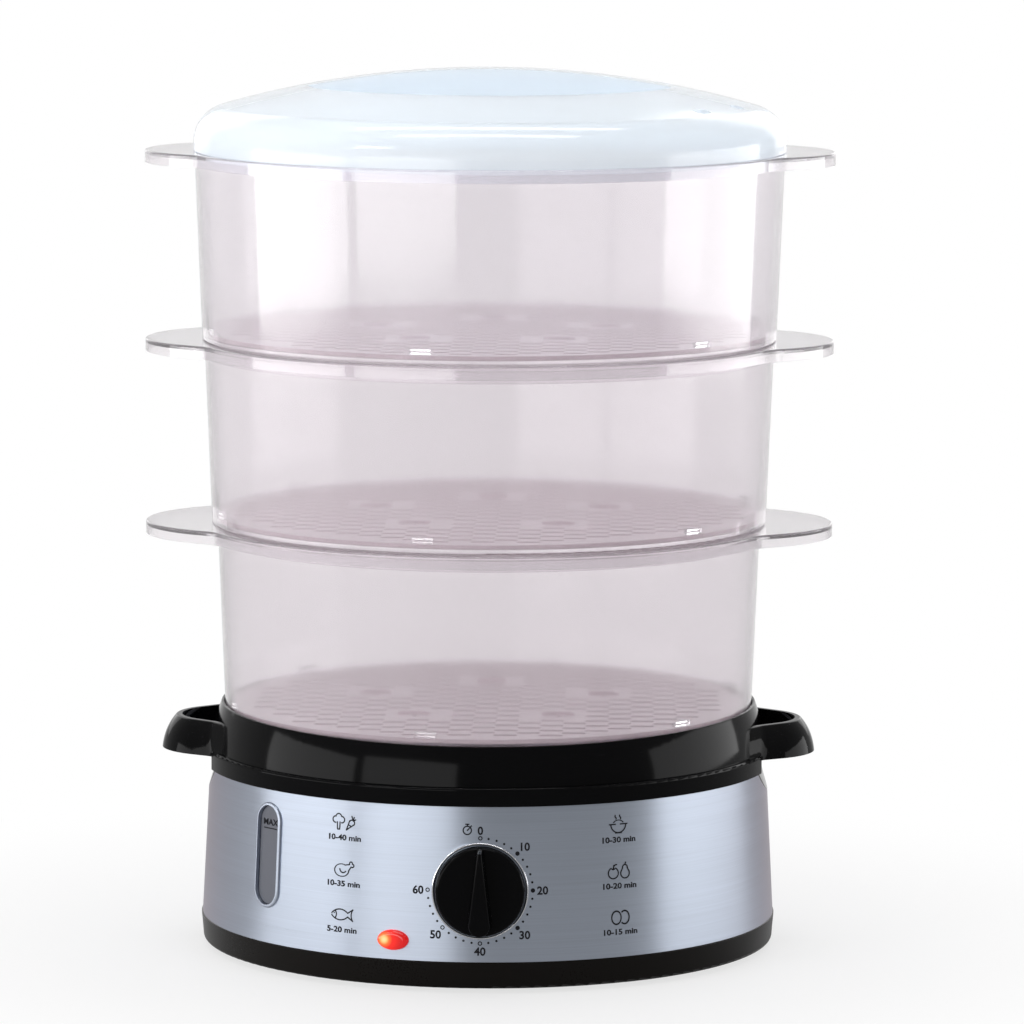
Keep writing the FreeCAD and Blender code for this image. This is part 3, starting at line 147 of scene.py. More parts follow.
class SteamerFinish(PropertyGroup):
    """Colours of the steamer's main materials"""

    black: FloatVectorProperty(
        name="Black plastic", description="Colour of the collar, the handles and the knob",
        default=(0.0028, 0.0028, 0.0032), size=3, subtype="COLOR", min=0.0, max=1.0)
    steel: FloatVectorProperty(
        name="Steel", description="Colour of the brushed steel band",
        default=(0.50, 0.55, 0.64), size=3, subtype="COLOR", min=0.0, max=1.0)
    basket: FloatVectorProperty(
        name="Baskets", description="Tint of the clear baskets, through one wall",
        default=(0.864, 0.838, 0.857), size=3, subtype="COLOR", min=0.0, max=1.0)
    grid: FloatVectorProperty(
        name="Basket floors", description="Tint of the slotted floors",
        default=(0.66, 0.57, 0.605), size=3, subtype="COLOR", min=0.0, max=1.0)
    lid: FloatVectorProperty(
        name="Lid", description="Tint of the clear lid",
        default=(0.915, 0.955, 0.99), size=3, subtype="COLOR", min=0.0, max=1.0)
    lamp: FloatVectorProperty(
        name="Lamp", description="Colour of the lamp's lens",
        default=(0.30, 0.006, 0.005), size=3, subtype="COLOR", min=0.0, max=1.0)


class SteamerStudio(PropertyGroup):
    """Floor, lights and camera"""

    floor: FloatVectorProperty(
        name="Floor", description="Colour of the floor",
        default=(0.93, 0.93, 0.935), size=3, subtype="COLOR", min=0.0, max=1.0)
    room_light: FloatProperty(
        name="Room light", description="Strength of the even light from all round",
        default=0.38, min=0.0)
    box_light: FloatProperty(
        name="Softbox light", description="Brightness of each softbox's face",
        default=1.6, min=0.0)
    camera_away: FloatProperty(
        name="Camera distance", description="From the steamer's axis to the camera, level",
        default=2.746, unit="LENGTH")
    camera_height: FloatProperty(
        name="Camera height", description="Of the camera above the floor",
        default=0.532, unit="LENGTH")
    camera_angle: FloatProperty(
        name="Camera angle", description="How far round towards +X the camera stands",
        default=math.radians(1.5), subtype="ANGLE")


def new_object(name, data):
    """Object in the scene, made of its data."""
    made = bpy.data.objects.new(name, data)
    bpy.context.scene.collection.objects.link(made)
    return made


# ---------------------------------------------------------------- shader helpers
def add_node(tree, kind, **values):
    """New node with its attributes set, and its inputs set by name where a name is a socket's."""
    node = tree.nodes.new(kind)
    for name, value in values.items():
        if hasattr(node, name):
            setattr(node, name, value)
        else:
            node.inputs[name.replace("_", " ")].default_value = value
    return node


def feed(tree, node, values):
    """Gives a node's inputs, in their order, a number, a vector or another node's output each."""
    for socket, value in zip(node.inputs, values):
        if isinstance(value, bpy.types.NodeSocket):
            tree.links.new(value, socket)
        else:
            socket.default_value = value


def maths(tree, operation, *values):
    """Output of a Math node."""
    node = add_node(tree, "ShaderNodeMath", operation=operation)
    feed(tree, node, values)
    return node.outputs[0]


def vector_maths(tree, operation, *values):
    """Vector Math node: a caller takes its Vector or its Value."""
    node = add_node(tree, "ShaderNodeVectorMath", operation=operation)
    feed(tree, node, values)
    return node


def map_range(tree, value, reach, into, interpolation="LINEAR"):
    """Output of a Map Range node: takes the reach of a value, as (low, high), into another."""
    node = add_node(tree, "ShaderNodeMapRange", interpolation_type=interpolation)
    for socket, number in zip(("From Min", "From Max", "To Min", "To Max"), (*reach, *into)):
        node.inputs[socket].default_value = number
    tree.links.new(value, node.inputs["Value"])
    return node.outputs[0]


def mix_shaders(tree, factor, first, second):
    """Puts a mix of two shaders on the material's output."""
    mix = tree.nodes.new("ShaderNodeMixShader")
    feed(tree, mix, (factor, first.outputs[0], second.outputs[0]))
    end = next(node for node in tree.nodes if node.type == "OUTPUT_MATERIAL")
    tree.links.new(mix.outputs[0], end.inputs["Surface"])


def new_group(name, inputs, outputs):
    """Shader node group with number or vector inputs, and its two end nodes."""
    tree = bpy.data.node_groups.new(name, "ShaderNodeTree")
    for socket, kind, default in inputs:
        made = tree.interface.new_socket(name=socket, in_out="INPUT", socket_type=kind)
        if default is not None:
            made.default_value = default
    for socket, kind in outputs:
        tree.interface.new_socket(name=socket, in_out="OUTPUT", socket_type=kind)
    return tree, tree.nodes.new("NodeGroupInput"), tree.nodes.new("NodeGroupOutput")


def moulded_skin():
    """Group: the faint unevenness of a moulded surface, as roughness and as height."""
    group = bpy.data.node_groups.get("moulded skin")
    if group:
        return group
    tree, start, end = new_group(
        "moulded skin",
        [("Vector", VECTOR, None), ("Grain", NUMBER, 900.0), ("Flow", NUMBER, 14.0),
         ("Roughness", NUMBER, 0.2), ("Unevenness", NUMBER, 0.05)],
        [("Roughness", NUMBER), ("Height", NUMBER)])
    grain = add_node(tree, "ShaderNodeTexNoise", Detail=3.0)
    flow = add_node(tree, "ShaderNodeTexNoise", Detail=2.0)
    noise_middle, flow_weight = 0.5, 2.0
    swings = []
    for noise, scale in ((grain, "Grain"), (flow, "Flow")):
        tree.links.new(start.outputs["Vector"], noise.inputs["Vector"])
        tree.links.new(start.outputs[scale], noise.inputs["Scale"])
        swing = maths(tree, "SUBTRACT", noise.outputs[0], noise_middle)
        swings.append(maths(tree, "MULTIPLY", swing, start.outputs["Unevenness"]))
    fine, slow = swings
    both = maths(tree, "ADD", maths(tree, "MULTIPLY", slow, flow_weight), fine)
    tree.links.new(maths(tree, "ADD", start.outputs["Roughness"], both), end.inputs["Roughness"])
    tree.links.new(grain.outputs[0], end.inputs["Height"])
    return tree


def brushed_lines():
    """Group: fine lines round the Z axis, as a brush leaves them on steel."""
    group = bpy.data.node_groups.get("brushed lines")
    if group:
        return group
    tree, start, end = new_group(
        "brushed lines",
        [("Vector", VECTOR, None), ("Lines", NUMBER, 2600.0), ("Run", NUMBER, 14.0)],
        [("Mask", NUMBER), ("Height", NUMBER)])
    fine, coarse = 1.0, 0.38
    heights = []
    for share in (fine, coarse):
        run = maths(tree, "MULTIPLY", start.outputs["Run"], share)
        across = maths(tree, "MULTIPLY", start.outputs["Lines"], share)
        stretch = tree.nodes.new("ShaderNodeCombineXYZ")
        feed(tree, stretch, (run, run, across))
        scaled = vector_maths(tree, "MULTIPLY", start.outputs["Vector"], stretch.outputs[0])
        noise = add_node(tree, "ShaderNodeTexNoise", Scale=1.0, Detail=4.0, Roughness=0.65)
        tree.links.new(scaled.outputs["Vector"], noise.inputs["Vector"])
        heights.append(noise.outputs[0])
    mean = maths(tree, "MULTIPLY", maths(tree, "ADD", *heights), 0.5)
    tree.links.new(mean, end.inputs["Mask"])
    tree.links.new(heights[0], end.inputs["Height"])
    return tree


def new_material(name, **values):
    """Material with one Principled shader, its constant values set on the shader's own sockets."""
    material = bpy.data.materials.new(name)
    material.use_nodes = True
    tree = material.node_tree
    tree.nodes.clear()
    end = tree.nodes.new("ShaderNodeOutputMaterial")
    shader = tree.nodes.new("ShaderNodeBsdfPrincipled")
    for socket, value in values.items():
        full = (*value, 1.0) if isinstance(value, tuple) else value
        shader.inputs[socket.replace("_", " ")].default_value = full
    tree.links.new(shader.outputs[0], end.inputs["Surface"])
    return material, tree, shader


def place_group(tree, group, **values):
    """A group node on Object coordinates, with its own values."""
    node = tree.nodes.new("ShaderNodeGroup")
    node.node_tree = group
    for socket, value in values.items():
        node.inputs[socket].default_value = value
    coordinates = tree.nodes.new("ShaderNodeTexCoord")
    tree.links.new(coordinates.outputs["Object"], node.inputs["Vector"])
    return node


def add_skin(tree, shader, roughness, unevenness, grain):
    """Roughness of a moulded surface on the shader. Gives the skin's node, for its height."""
    skin = place_group(tree, moulded_skin(), Roughness=roughness, Unevenness=unevenness, Grain=grain)
    tree.links.new(skin.outputs["Roughness"], shader.inputs["Roughness"])
    return skin


def add_bump(tree, shader, height, depth, strength=1.0):
    """Bump of a real depth on the shader's normal."""
    bump = add_node(tree, "ShaderNodeBump", Strength=strength, Distance=depth)
    tree.links.new(height, bump.inputs["Height"])
    tree.links.new(bump.outputs[0], shader.inputs["Normal"])


# ---------------------------------------------------------------- materials
def moulded(name, colour, roughness, unevenness, grain, depth=0.0, **values):
    """Moulded plastic or rubber: the grain is counted to the metre and has a depth."""
    material, tree, shader = new_material(name, Base_Color=colour, **values)
    skin = add_skin(tree, shader, roughness, unevenness, grain)
    if depth:
        add_bump(tree, shader, skin.outputs["Height"], depth)
    return material


def clear(name, tint, roughness, clearness, ior=1.5):
    """Clear plastic that lets the lamps' light through to what it holds.

    That light crosses both faces of a wall, so each face takes the square root of the wall's tint.
    """
    material, tree, shader = new_material(name, Base_Color=tint, Transmission_Weight=clearness, IOR=ior)
    add_skin(tree, shader, roughness, unevenness=0.02, grain=300.0)
    path = tree.nodes.new("ShaderNodeLightPath")
    film = add_node(tree, "ShaderNodeBsdfTransparent", Color=(*(math.sqrt(part) for part in tint), 1.0))
    mix_shaders(tree, path.outputs["Is Shadow Ray"], shader, film)
    return material


def brushed_steel(name, colour):
    """Steel brushed round the band: fine level lines, and highlights drawn out upright. Its pinkish-brown edge
    tint is a painted reflection of a brown table beneath it.
    """
    # Specular Tint: pinkish-brown edges, a painted reflection of a brown table beneath
    material, tree, shader = new_material(
        name, Metallic=1.0, Anisotropic=0.7, Anisotropic_Rotation=0.25, Specular_Tint=(0.86, 0.77, 0.77))
    lines = place_group(tree, brushed_lines(), Lines=4200.0, Run=16.0)
    mask = lines.outputs["Mask"]
    shade = map_range(tree, mask, reach=(0.25, 0.75), into=(0.89, 1.09))
    tint = vector_maths(tree, "SCALE", colour)
    tree.links.new(shade, tint.inputs["Scale"])
    tree.links.new(tint.outputs["Vector"], shader.inputs["Base Color"])
    roughness = map_range(tree, mask, reach=(0.3, 0.7), into=(0.27, 0.39))
    tree.links.new(roughness, shader.inputs["Roughness"])
    add_bump(tree, shader, lines.outputs["Height"], depth=0.004 * MM, strength=0.5)
    return material


def metal(name, colour, roughness, unevenness=0.08, grain=500.0):
    """Plain metal with a slightly uneven polish."""
    material, tree, shader = new_material(name, Base_Color=colour, Metallic=1.0)
    add_skin(tree, shader, roughness, unevenness, grain)
    return material


def lit_lens(name, colour):
    """Red lens with the lamp alight behind it: brightest a little left of its middle.

    The stops give the light's colour by how far it is from the hot spot, as a share of the glow's reach.
    """
    hot_spot, glow_reach = Vector((-2.9 * MM, 0.2 * MM, 2.2 * MM)), 7.5 * MM
    stops = ((0.0, (1.0, 0.85, 0.50)), (0.15, (1.0, 0.70, 0.25)), (0.3, (1.0, 0.20, 0.04)),
             (0.5, (0.85, 0.02, 0.01)), (1.0, (0.50, 0.002, 0.002)))
    material, tree, shader = new_material(
        name, Base_Color=colour, Roughness=0.08, Coat_Weight=0.3, Coat_Roughness=0.03,
        Emission_Strength=1.0)
    hot_place = panel_before("indicator_lens") @ hot_spot
    coordinates = tree.nodes.new("ShaderNodeTexCoord")
    away = vector_maths(tree, "DISTANCE", coordinates.outputs["Object"], hot_place)
    ramp = tree.nodes.new("ShaderNodeValToRGB")
    shades = ramp.color_ramp.elements
    shades.remove(shades[1])
    for place, shade in stops:
        stop = shades[0] if place == 0.0 else shades.new(place)
        stop.color = (*shade, 1.0)
    share = maths(tree, "DIVIDE", away.outputs["Value"], glow_reach)
    tree.links.new(share, ramp.inputs[0])
    tree.links.new(ramp.outputs[0], shader.inputs["Emission Color"])
    return material


def finishes():
    """Every material of the steamer, by the record's slot."""
    # moulded: name, colour, roughness, its unevenness, grains to the metre, their depth
    # metal: name, colour, roughness, its unevenness, grains to the metre
    # clear: name, tint, roughness, clearness, index of refraction
    colours = bpy.context.scene.steamer_finish
    black = tuple(colours.black)
    return {
        "gloss_black": moulded("gloss black", black, 0.09, 0.02, 240.0, 0.003 * MM,
                               Specular_IOR_Level=0.075),
        "satin_black": moulded("satin black", (0.006, 0.0048, 0.004), 0.3, 0.08, 1400.0, 0.02 * MM,
                               Specular_IOR_Level=0.12),
        "foot_rubber": moulded("foot rubber", (0.03, 0.03, 0.032), 0.75, 0.1, 1800.0, 0.03 * MM),
        "seal_rubber": moulded("seal rubber", (0.42, 0.1, 0.07), 0.6, 0.1, 1500.0, 0.02 * MM),
        "brushed_steel": brushed_steel("brushed steel", tuple(colours.steel)),
        "tank_plastic": moulded("tank plastic", (0.06, 0.062, 0.068), 0.34, 0.08, 900.0, 0.01 * MM),
        "gauge_clear": moulded("gauge window", (0.165, 0.172, 0.2), 0.22, 0.04, 300.0, 0.0,
                               Specular_IOR_Level=0.25),
        "heater_metal": metal("heater metal", (0.62, 0.61, 0.58), 0.34, 0.2, 300.0),
        "plain_steel": metal("plain steel", (0.6, 0.6, 0.61), 0.28),
        "fasteners": metal("fasteners", (0.66, 0.63, 0.55), 0.25, 0.1, 900.0),
        "dark_phenolic": moulded("dark phenolic", (0.035, 0.022, 0.015), 0.4, 0.1, 1200.0, 0.02 * MM),
        "sleeve_plastic": moulded("sleeve plastic", (0.10, 0.10, 0.105), 0.38, 0.08, 900.0, 0.01 * MM),
        "tray_clear": clear("tray plastic", (0.84, 0.84, 0.88), 0.12, 0.85),
        "bright_ring": metal("bright ring", (0.78, 0.79, 0.82), 0.12, 0.04),
        "timer_case": metal("timer case", (0.5, 0.51, 0.52), 0.4, 0.15),
        "lamp_red": lit_lens("lamp lens", tuple(colours.lamp)),
        "neon_glass": moulded("neon glass", (0.85, 0.35, 0.15), 0.1, 0.03, 300.0, 0.0,
                              Transmission_Weight=0.6),
        "block_white": moulded("terminal block", (0.72, 0.71, 0.68), 0.4, 0.08, 900.0, 0.01 * MM),
        "wire_sheath": moulded("wire sheath", (0.60, 0.59, 0.56), 0.45, 0.08, 900.0, 0.01 * MM),
        "basket_clear": clear("basket plastic", tuple(colours.basket), 0.085, 0.9, 1.46),
        "grid_clear": clear("floor plastic", tuple(colours.grid), 0.16, 0.62, 1.45),
        "lid_clear": clear("lid plastic", tuple(colours.lid), 0.1, 0.5, 1.42),
    }


# ---------------------------------------------------------------- flat artwork, drawn in millimetres
def add_dot(bm, x, y, radius, hole=0.0):
    """Round dot, or a ring where it has a hole."""
    if hole:
        add_arc(bm, x, y, (radius + hole) / 2, 0, 360, radius - hole)
    else:
        place = Matrix.Translation((x, y, 0))
        bmesh.ops.create_circle(bm, cap_ends=True, segments=24, radius=radius, matrix=place)


def add_arc(bm, x, y, radius, start, end, width, tall=1.0):
    """Ribbon along an arc, in degrees anticlockwise from +X; tall stretches it upright."""
    fewest_steps, steps_to_a_millimetre, least_radius = 4, 3.5, 1.0
    angle = math.radians(start)
    way = Vector((math.cos(angle), math.sin(angle), 0))
    ends = [bm.verts.new(way * (radius + side * width / 2)) for side in (-1, 1)]
    edge = bm.edges.new(ends)
    turn = math.radians(end - start)
    steps = max(fewest_steps, round(abs(turn) * max(radius, least_radius) * steps_to_a_millimetre))
    full = abs(end - start) >= 360
    before = set(bm.verts) - set(ends)
    bmesh.ops.spin(bm, geom=[edge, *ends], cent=(0, 0, 0), axis=(0, 0, 1), angle=turn, steps=steps,
                   use_merge=full)
    made = [vert for vert in bm.verts if vert not in before]
    place = Matrix.Translation((x, y, 0)) @ Matrix.Diagonal((1, tall, 1, 1))
    bmesh.ops.transform(bm, matrix=place, verts=made)


def add_line(bm, x0, y0, x1, y1, width):
    """Straight ribbon between two points, a little longer than that to close the corners."""
    overlap = 0.6 * width
    start, end = Vector((x0, y0, 0)), Vector((x1, y1, 0))
    run = end - start
    turn = Matrix.Rotation(math.atan2(run.y, run.x), 4, "Z")
    size = Matrix.Diagonal((run.length + overlap, width, 1, 1))
    place = Matrix.Translation((start + end) / 2) @ turn @ size
    bmesh.ops.create_grid(bm, x_segments=1, y_segments=1, size=0.5, matrix=place)


def add_words(bm, words, x, y, height, weight, wide=1.0):
    """Words or figures, their capitals of a height, their middle at a point.

    The weight is how far each outline is moved outwards, at a size of one.
    """
    curve = bpy.data.curves.new("words", "FONT")
    curve.body, curve.align_x = words, "CENTER"
    curve.offset, curve.resolution_u = weight, 3
    holder = new_object("words", curve)
    bpy.context.view_layer.update()
    flat = bpy.data.meshes.new_from_object(holder.evaluated_get(bpy.context.evaluated_depsgraph_get()))
    bpy.data.objects.remove(holder)
    bpy.data.curves.remove(curve)
    scale = height / CAPITAL_HEIGHT
    place = Matrix.Translation((x, y - height / 2, 0))
    flat.transform(place @ Matrix.Diagonal((scale * wide, scale, 1, 1)))
    bm.from_mesh(flat)
    bpy.data.meshes.remove(flat)


def give_depth(bm, depth):
    """Turns flat artwork in the XY plane into closed ink of a depth, and scales it to metres."""
    touching = 1e-4
    bmesh.ops.remove_doubles(bm, verts=bm.verts[:], dist=touching)
    bmesh.ops.transform(bm, matrix=Matrix.Scale(MM, 4), verts=bm.verts[:])
    bmesh.ops.recalc_face_normals(bm, faces=bm.faces[:])
    for face in bm.faces:
        if face.normal.z < 0:
            face.normal_flip()
    faces = bm.faces[:]
    raised = bmesh.ops.extrude_face_region(bm, geom=faces, use_keep_orig=True)["geom"]
    verts = [item for item in raised if isinstance(item, bmesh.types.BMVert)]
    bmesh.ops.translate(bm, vec=(0, 0, depth), verts=verts)
    for face in faces:
        face.normal_flip()
    bmesh.ops.recalc_face_normals(bm, faces=bm.faces[:])


def roll_onto_band(bm, angle, height):
    """Rolls flat artwork round the steel band, its origin at an angle and a height."""
    around = band_surface(height)
    for vert in bm.verts:
        x, y, out = vert.co
        level = height + y * math.cos(band_lean)
        radius = band_surface(level) + out * math.cos(band_lean)
        turn = angle + x / around
        vert.co = (radius * math.sin(turn), -radius * math.cos(turn), level + out * math.sin(band_lean))


def finish_piece(name, bm, body, material):
    """Makes a piece of a bmesh, which rides on a body."""
    mesh = bpy.data.meshes.new(name)
    bm.to_mesh(mesh)
    bm.free()
    mesh.materials.append(material)
    piece = new_object(name, mesh)
    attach(piece, body)


def ink():
    """The one material of all printed marks."""
    made = bpy.data.materials.get("printed ink")
    if made:
        return made
    colour = tuple(bpy.context.scene.steamer_print.ink)
    return moulded("printed ink", colour, 0.5, 0.1, 1500.0, Specular_IOR_Level=0.2)


def carrot(bm, pen):
    """Vegetables: a floret on its stalk beside a slanting carrot."""
    add_arc(bm, -4.5, 1.1, 1.35, 80, 285, pen)
    add_arc(bm, -2.9, 2.2, 1.45, 0, 180, pen)
    add_arc(bm, -1.3, 1.1, 1.35, -105, 100, pen)
    add_line(bm, -3.6, 0.1, -3.45, -3.0, pen)
    add_line(bm, -2.2, 0.1, -2.35, -3.0, pen)
    add_line(bm, -3.45, -3.0, -2.35, -3.0, pen)
    add_line(bm, 1.0, -3.1, 2.6, 1.0, pen)
    add_line(bm, 1.0, -3.1, 4.7, -0.6, pen)
    add_arc(bm, 3.75, 0.1, 1.25, -50, 150, pen)
    for x, y in ((3.6, 3.0), (4.8, 2.6), (5.6, 1.6)):
        add_line(bm, 4.3, 1.0, x, y, pen)
    add_line(bm, 2.3, -0.9, 3.0, -1.2, pen)


def roast(bm, pen):
    """Poultry: a round roast with its wing line, and a leg with its bone."""
    add_arc(bm, -0.8, -0.7, 3.5, 62, 358, pen, 0.76)
    add_arc(bm, -0.1, -0.1, 1.6, 175, 330, pen)
    add_line(bm, 0.8, 1.6, 3.1, 2.0, pen)
    add_line(bm, 2.65, -0.75, 3.9, 1.05, pen)
    add_arc(bm, 3.75, 2.45, 0.7, -20, 215, pen)
    add_arc(bm, 4.5, 1.55, 0.7, -125, 115, pen)


def fish(bm, pen):
    """Fish: two long arcs that cross at the tail, an eye and a gill."""
    add_arc(bm, -1.0, -3.1, 5.4, 46, 142, pen)
    add_arc(bm, -1.0, 3.1, 5.4, -142, -46, pen)
    add_line(bm, 2.75, 0.8, 5.3, 2.5, pen)
    add_line(bm, 2.75, -0.8, 5.3, -2.5, pen)
    add_arc(bm, 8.6, 0.0, 4.15, 143, 217, pen)
    add_arc(bm, -5.1, 0.0, 2.3, -42, 42, pen)
    add_dot(bm, -3.9, 0.6, 0.32)


def bowl(bm, pen):
    """Rice: a bowl on its foot, heaped, with two wisps of steam."""
    add_arc(bm, 0.0, 0.2, 3.6, 180, 360, pen)
    add_line(bm, -4.3, 0.2, 4.3, 0.2, pen)
    add_line(bm, -1.5, -3.5, 1.5, -3.5, pen)
    add_arc(bm, 0.0, 0.2, 2.5, 20, 160, pen, 0.7)
    for x in (-1.1, 1.1):
        add_arc(bm, x - 0.45, 2.75, 0.55, -60, 60, pen)
        add_arc(bm, x + 0.1, 3.65, 0.55, 120, 240, pen)


def fruit(bm, pen):
    """Fruit: an apple with a leaf beside a pear."""
    add_arc(bm, -2.8, -0.9, 2.35, 112, 428, pen)
    add_arc(bm, -2.8, 1.55, 0.9, 205, 335, pen)
    add_line(bm, -2.8, 0.7, -2.5, 2.5, pen)
    add_arc(bm, -1.4, 1.5, 1.2, 70, 165, pen)
    add_arc(bm, 2.8, -1.2, 2.1, 140, 400, pen)
    add_arc(bm, 2.8, 1.3, 1.15, -10, 190, pen)
    add_line(bm, 1.65, 1.1, 1.15, 0.1, pen)
    add_line(bm, 3.95, 1.1, 4.45, 0.1, pen)
    add_line(bm, 2.8, 2.4, 3.2, 3.5, pen)


def eggs(bm, pen):
    """Eggs: one before the other."""
    add_arc(bm, -1.7, -0.3, 2.2, 0, 360, pen, 1.28)
    add_arc(bm, 2.2, -0.3, 2.2, -132, 132, pen, 1.28)


def stopwatch(bm, x, y, pen):
    """Stopwatch: a round case with its crown and its side button, and one hand."""
    add_arc(bm, x, y, 1.75, 0, 360, pen)
    add_line(bm, x, y + 1.75, x, y + 2.6, pen)
    add_line(bm, x - 0.75, y + 2.6, x + 0.75, y + 2.6, pen)
    add_line(bm, x, y, x + 0.85, y + 0.85, pen)
    add_line(bm, x + 1.35, y + 1.5, x + 1.8, y + 1.95, pen)


# ---------------------------------------------------------------- operators
class STEAMER_OT_dress_parts(Operator):
    """Give every piece of the frame the finish that its material slot names"""

    bl_idname = "steamer.dress_parts"
    bl_label = "Dress the parts"

    def execute(self, context):
        made = finishes()
        for subpart in frame["record"]["subparts"]:
            part = frame["nodes"][subpart["node"]]
            if not part.material_slots:
                part.data.materials.append(None)
            for slot in part.material_slots:
                slot.material = made[subpart["material_slot"]]
        return {"FINISHED"}


class STEAMER_OT_print_dial(Operator):
    """Print the minutes, the dots and the stopwatch round the knob"""

    bl_idname = "steamer.print_dial"
    bl_label = "Print the dial"

    def execute(self, context):
        sizes = context.scene.steamer_print
        bm = bmesh.new()
        ring, circle = sizes.dot_circle / MM, sizes.figure_circle / MM
        height = sizes.figure_height / MM
        dot, small = sizes.dot_radius / MM, sizes.small_dot_radius / MM
        step, parts = 45.0, 5  # degrees for ten minutes, and how many parts the small dots divide them into
        nearer = circle - 0.9  # where the figures right above and right below the knob stand
        weight, hole_share, stopwatch_left = 0.028, 0.55, -5.6
        filled, last = (1, 2, 3), 6
        for ten in range(last + 1):
            angle = math.radians(90 - ten * step)
            away = circle if ten % 4 else nearer
            add_words(bm, str(10 * ten), away * math.cos(angle), away * math.sin(angle), height, weight)
            hole = 0.0 if ten in filled else dot * hole_share
            add_dot(bm, ring * math.cos(angle), ring * math.sin(angle), dot, hole)
            for part in range(1, parts if ten < last else 1):
                turn = math.radians(90 - (ten + part / parts) * step)
                add_dot(bm, ring * math.cos(turn), ring * math.sin(turn), small)
        stopwatch(bm, stopwatch_left, nearer, sizes.stroke / MM)
        give_depth(bm, sizes.ink_depth)
        roll_onto_band(bm, 0.0, dial_place.z)
        finish_piece("dial_print", bm, "base", ink())
        return {"FINISHED"}


class STEAMER_OT_print_foods(Operator):
    """Print the two columns of food pictures with their steaming times"""

    bl_idname = "steamer.print_foods"
    bl_label = "Print the food times"

    def execute(self, context):
        sizes = context.scene.steamer_print
        columns = (
            ("left", -1, ((carrot, "10-40 min"), (roast, "10-35 min"), (fish, "5-20 min"))),
            ("right", 1, ((bowl, "10-30 min"), (fruit, "10-20 min"), (eggs, "10-15 min"))),
        )
        top_row, pitch = 70.1 * MM, 19.7 * MM  # height of the top row, and how far down the next one is
        drop, weight = 6.3, 0.03  # how far under its picture a time stands, and how bold it is
        for name, side, foods in columns:
            bm = bmesh.new()
            for row, (picture, time) in enumerate(foods):
                part = bmesh.new()
                picture(part, sizes.stroke / MM)
                add_words(part, time, 0, -drop, sizes.label_height / MM, weight, sizes.label_width)
                above_dial = (top_row - dial_place.z - row * pitch) / math.cos(band_lean) / MM
                bmesh.ops.translate(part, vec=(0, above_dial, 0), verts=part.verts[:])
                flat = bpy.data.meshes.new("picture")
                part.to_mesh(flat)
                part.free()
                bm.from_mesh(flat)
                bpy.data.meshes.remove(flat)
            give_depth(bm, sizes.ink_depth)
            roll_onto_band(bm, side * sizes.picture_angle, dial_place.z)
            finish_piece(f"{name}_food_print", bm, "base", ink())
        return {"FINISHED"}


class STEAMER_OT_print_max(Operator):
    """Print the water window's highest level"""

    bl_idname = "steamer.print_max"
    bl_label = "Print the water mark"

    def execute(self, context):
        sizes = context.scene.steamer_print
        word_up, word_height, weight = 14.4, 2.7, 0.03
        line_up, line_reach, line_width = 11.6, 4.2, 0.5
        bm = bmesh.new()
        add_words(bm, "MAX", 0, word_up, word_height, weight, sizes.label_width)
        add_line(bm, -line_reach, line_up, line_reach, line_up, line_width)
        give_depth(bm, sizes.ink_depth)
        bmesh.ops.transform(bm, matrix=on_face("gauge_window"), verts=bm.verts[:])
        finish_piece("max_mark", bm, "base", ink())
        return {"FINISHED"}


class STEAMER_OT_set_stage(Operator):
    """Make the floor, the softboxes, the room's light and the camera"""

    bl_idname = "steamer.set_stage"
    bl_label = "Set the stage"

    def execute(self, context):
        studio = context.scene.steamer_studio
        make_floor(tuple(studio.floor))
        make_room(studio.room_light)
        # name, degrees round from the camera, metres from the axis and up, width and height of its face,
        # and how many times as bright as the setting says
        boxes = (
            ("left_softbox", -78, 1.6, 0.26, 1.35, 0.44, 2.1),
            ("front_left_softbox", -32, 1.7, 0.30, 1.2, 0.52, 1.75),
            ("right_softbox", 97, 1.6, 0.29, 1.65, 0.5, 1.85),
            ("back_left_softbox", -150, 1.8, 0.8, 0.9, 1.2, 0.6),
            ("back_right_softbox", 155, 1.8, 0.8, 0.9, 1.2, 0.6),
            ("spark_softbox", -47, 1.45, 1.10, 0.34, 0.12, 10.0),
        )
        for name, angle, away, height, width, tall, share in boxes:
            turn = math.radians(angle) + studio.camera_angle
            place = Vector((away * math.sin(turn), -away * math.cos(turn), height))
            make_softbox(name, place, width, tall, share * studio.box_light)
        strip_height, strip_width, strip_tall, strip_share = 1.9, 1.4, 0.2, 5.0
        for name, depth in (("front_strip", -0.45), ("back_strip", 0.40)):
            place = Vector((0, depth, strip_height))
            make_softbox(name, place, strip_width, strip_tall, strip_share * studio.box_light)
        make_camera(studio)
        context.scene.view_settings.view_transform = "Standard"
        return {"FINISHED"}


def make_floor(colour):
    """Wide pale floor: it takes the steamer's shadow near by, and is plain white far off.

    To the camera and in reflections it turns white over the fading distances, from the first of the white
    shares to the second.
    """
    fading, white_share = (0.12, 0.38), (0.72, 1.0)
    bm = bmesh.new()
    bmesh.ops.create_circle(bm, cap_ends=True, segments=96, radius=40.0)
    mesh = bpy.data.meshes.new("floor")
    bm.to_mesh(mesh)
    bm.free()
    material, tree, shader = new_material("pale floor", Base_Color=colour, Roughness=0.6)
    coordinates = tree.nodes.new("ShaderNodeTexCoord")
    away = vector_maths(tree, "LENGTH", coordinates.outputs["Object"])
    whiteness = map_range(tree, away.outputs["Value"], fading, white_share, "SMOOTHSTEP")
    seen, mirrored = ray_kinds(tree)
    graded = maths(tree, "MULTIPLY", mirrored, dark_front(tree, coordinates.outputs["Object"]))
    white = add_node(tree, "ShaderNodeEmission", Color=WHITE)
    tree.links.new(maths(tree, "MAXIMUM", seen, graded), white.inputs["Strength"])
    faced = maths(tree, "MAXIMUM", seen, mirrored)
    mix_shaders(tree, maths(tree, "MULTIPLY", faced, whiteness), shader, white)
    mesh.materials.append(material)
    floor = new_object("floor", mesh)


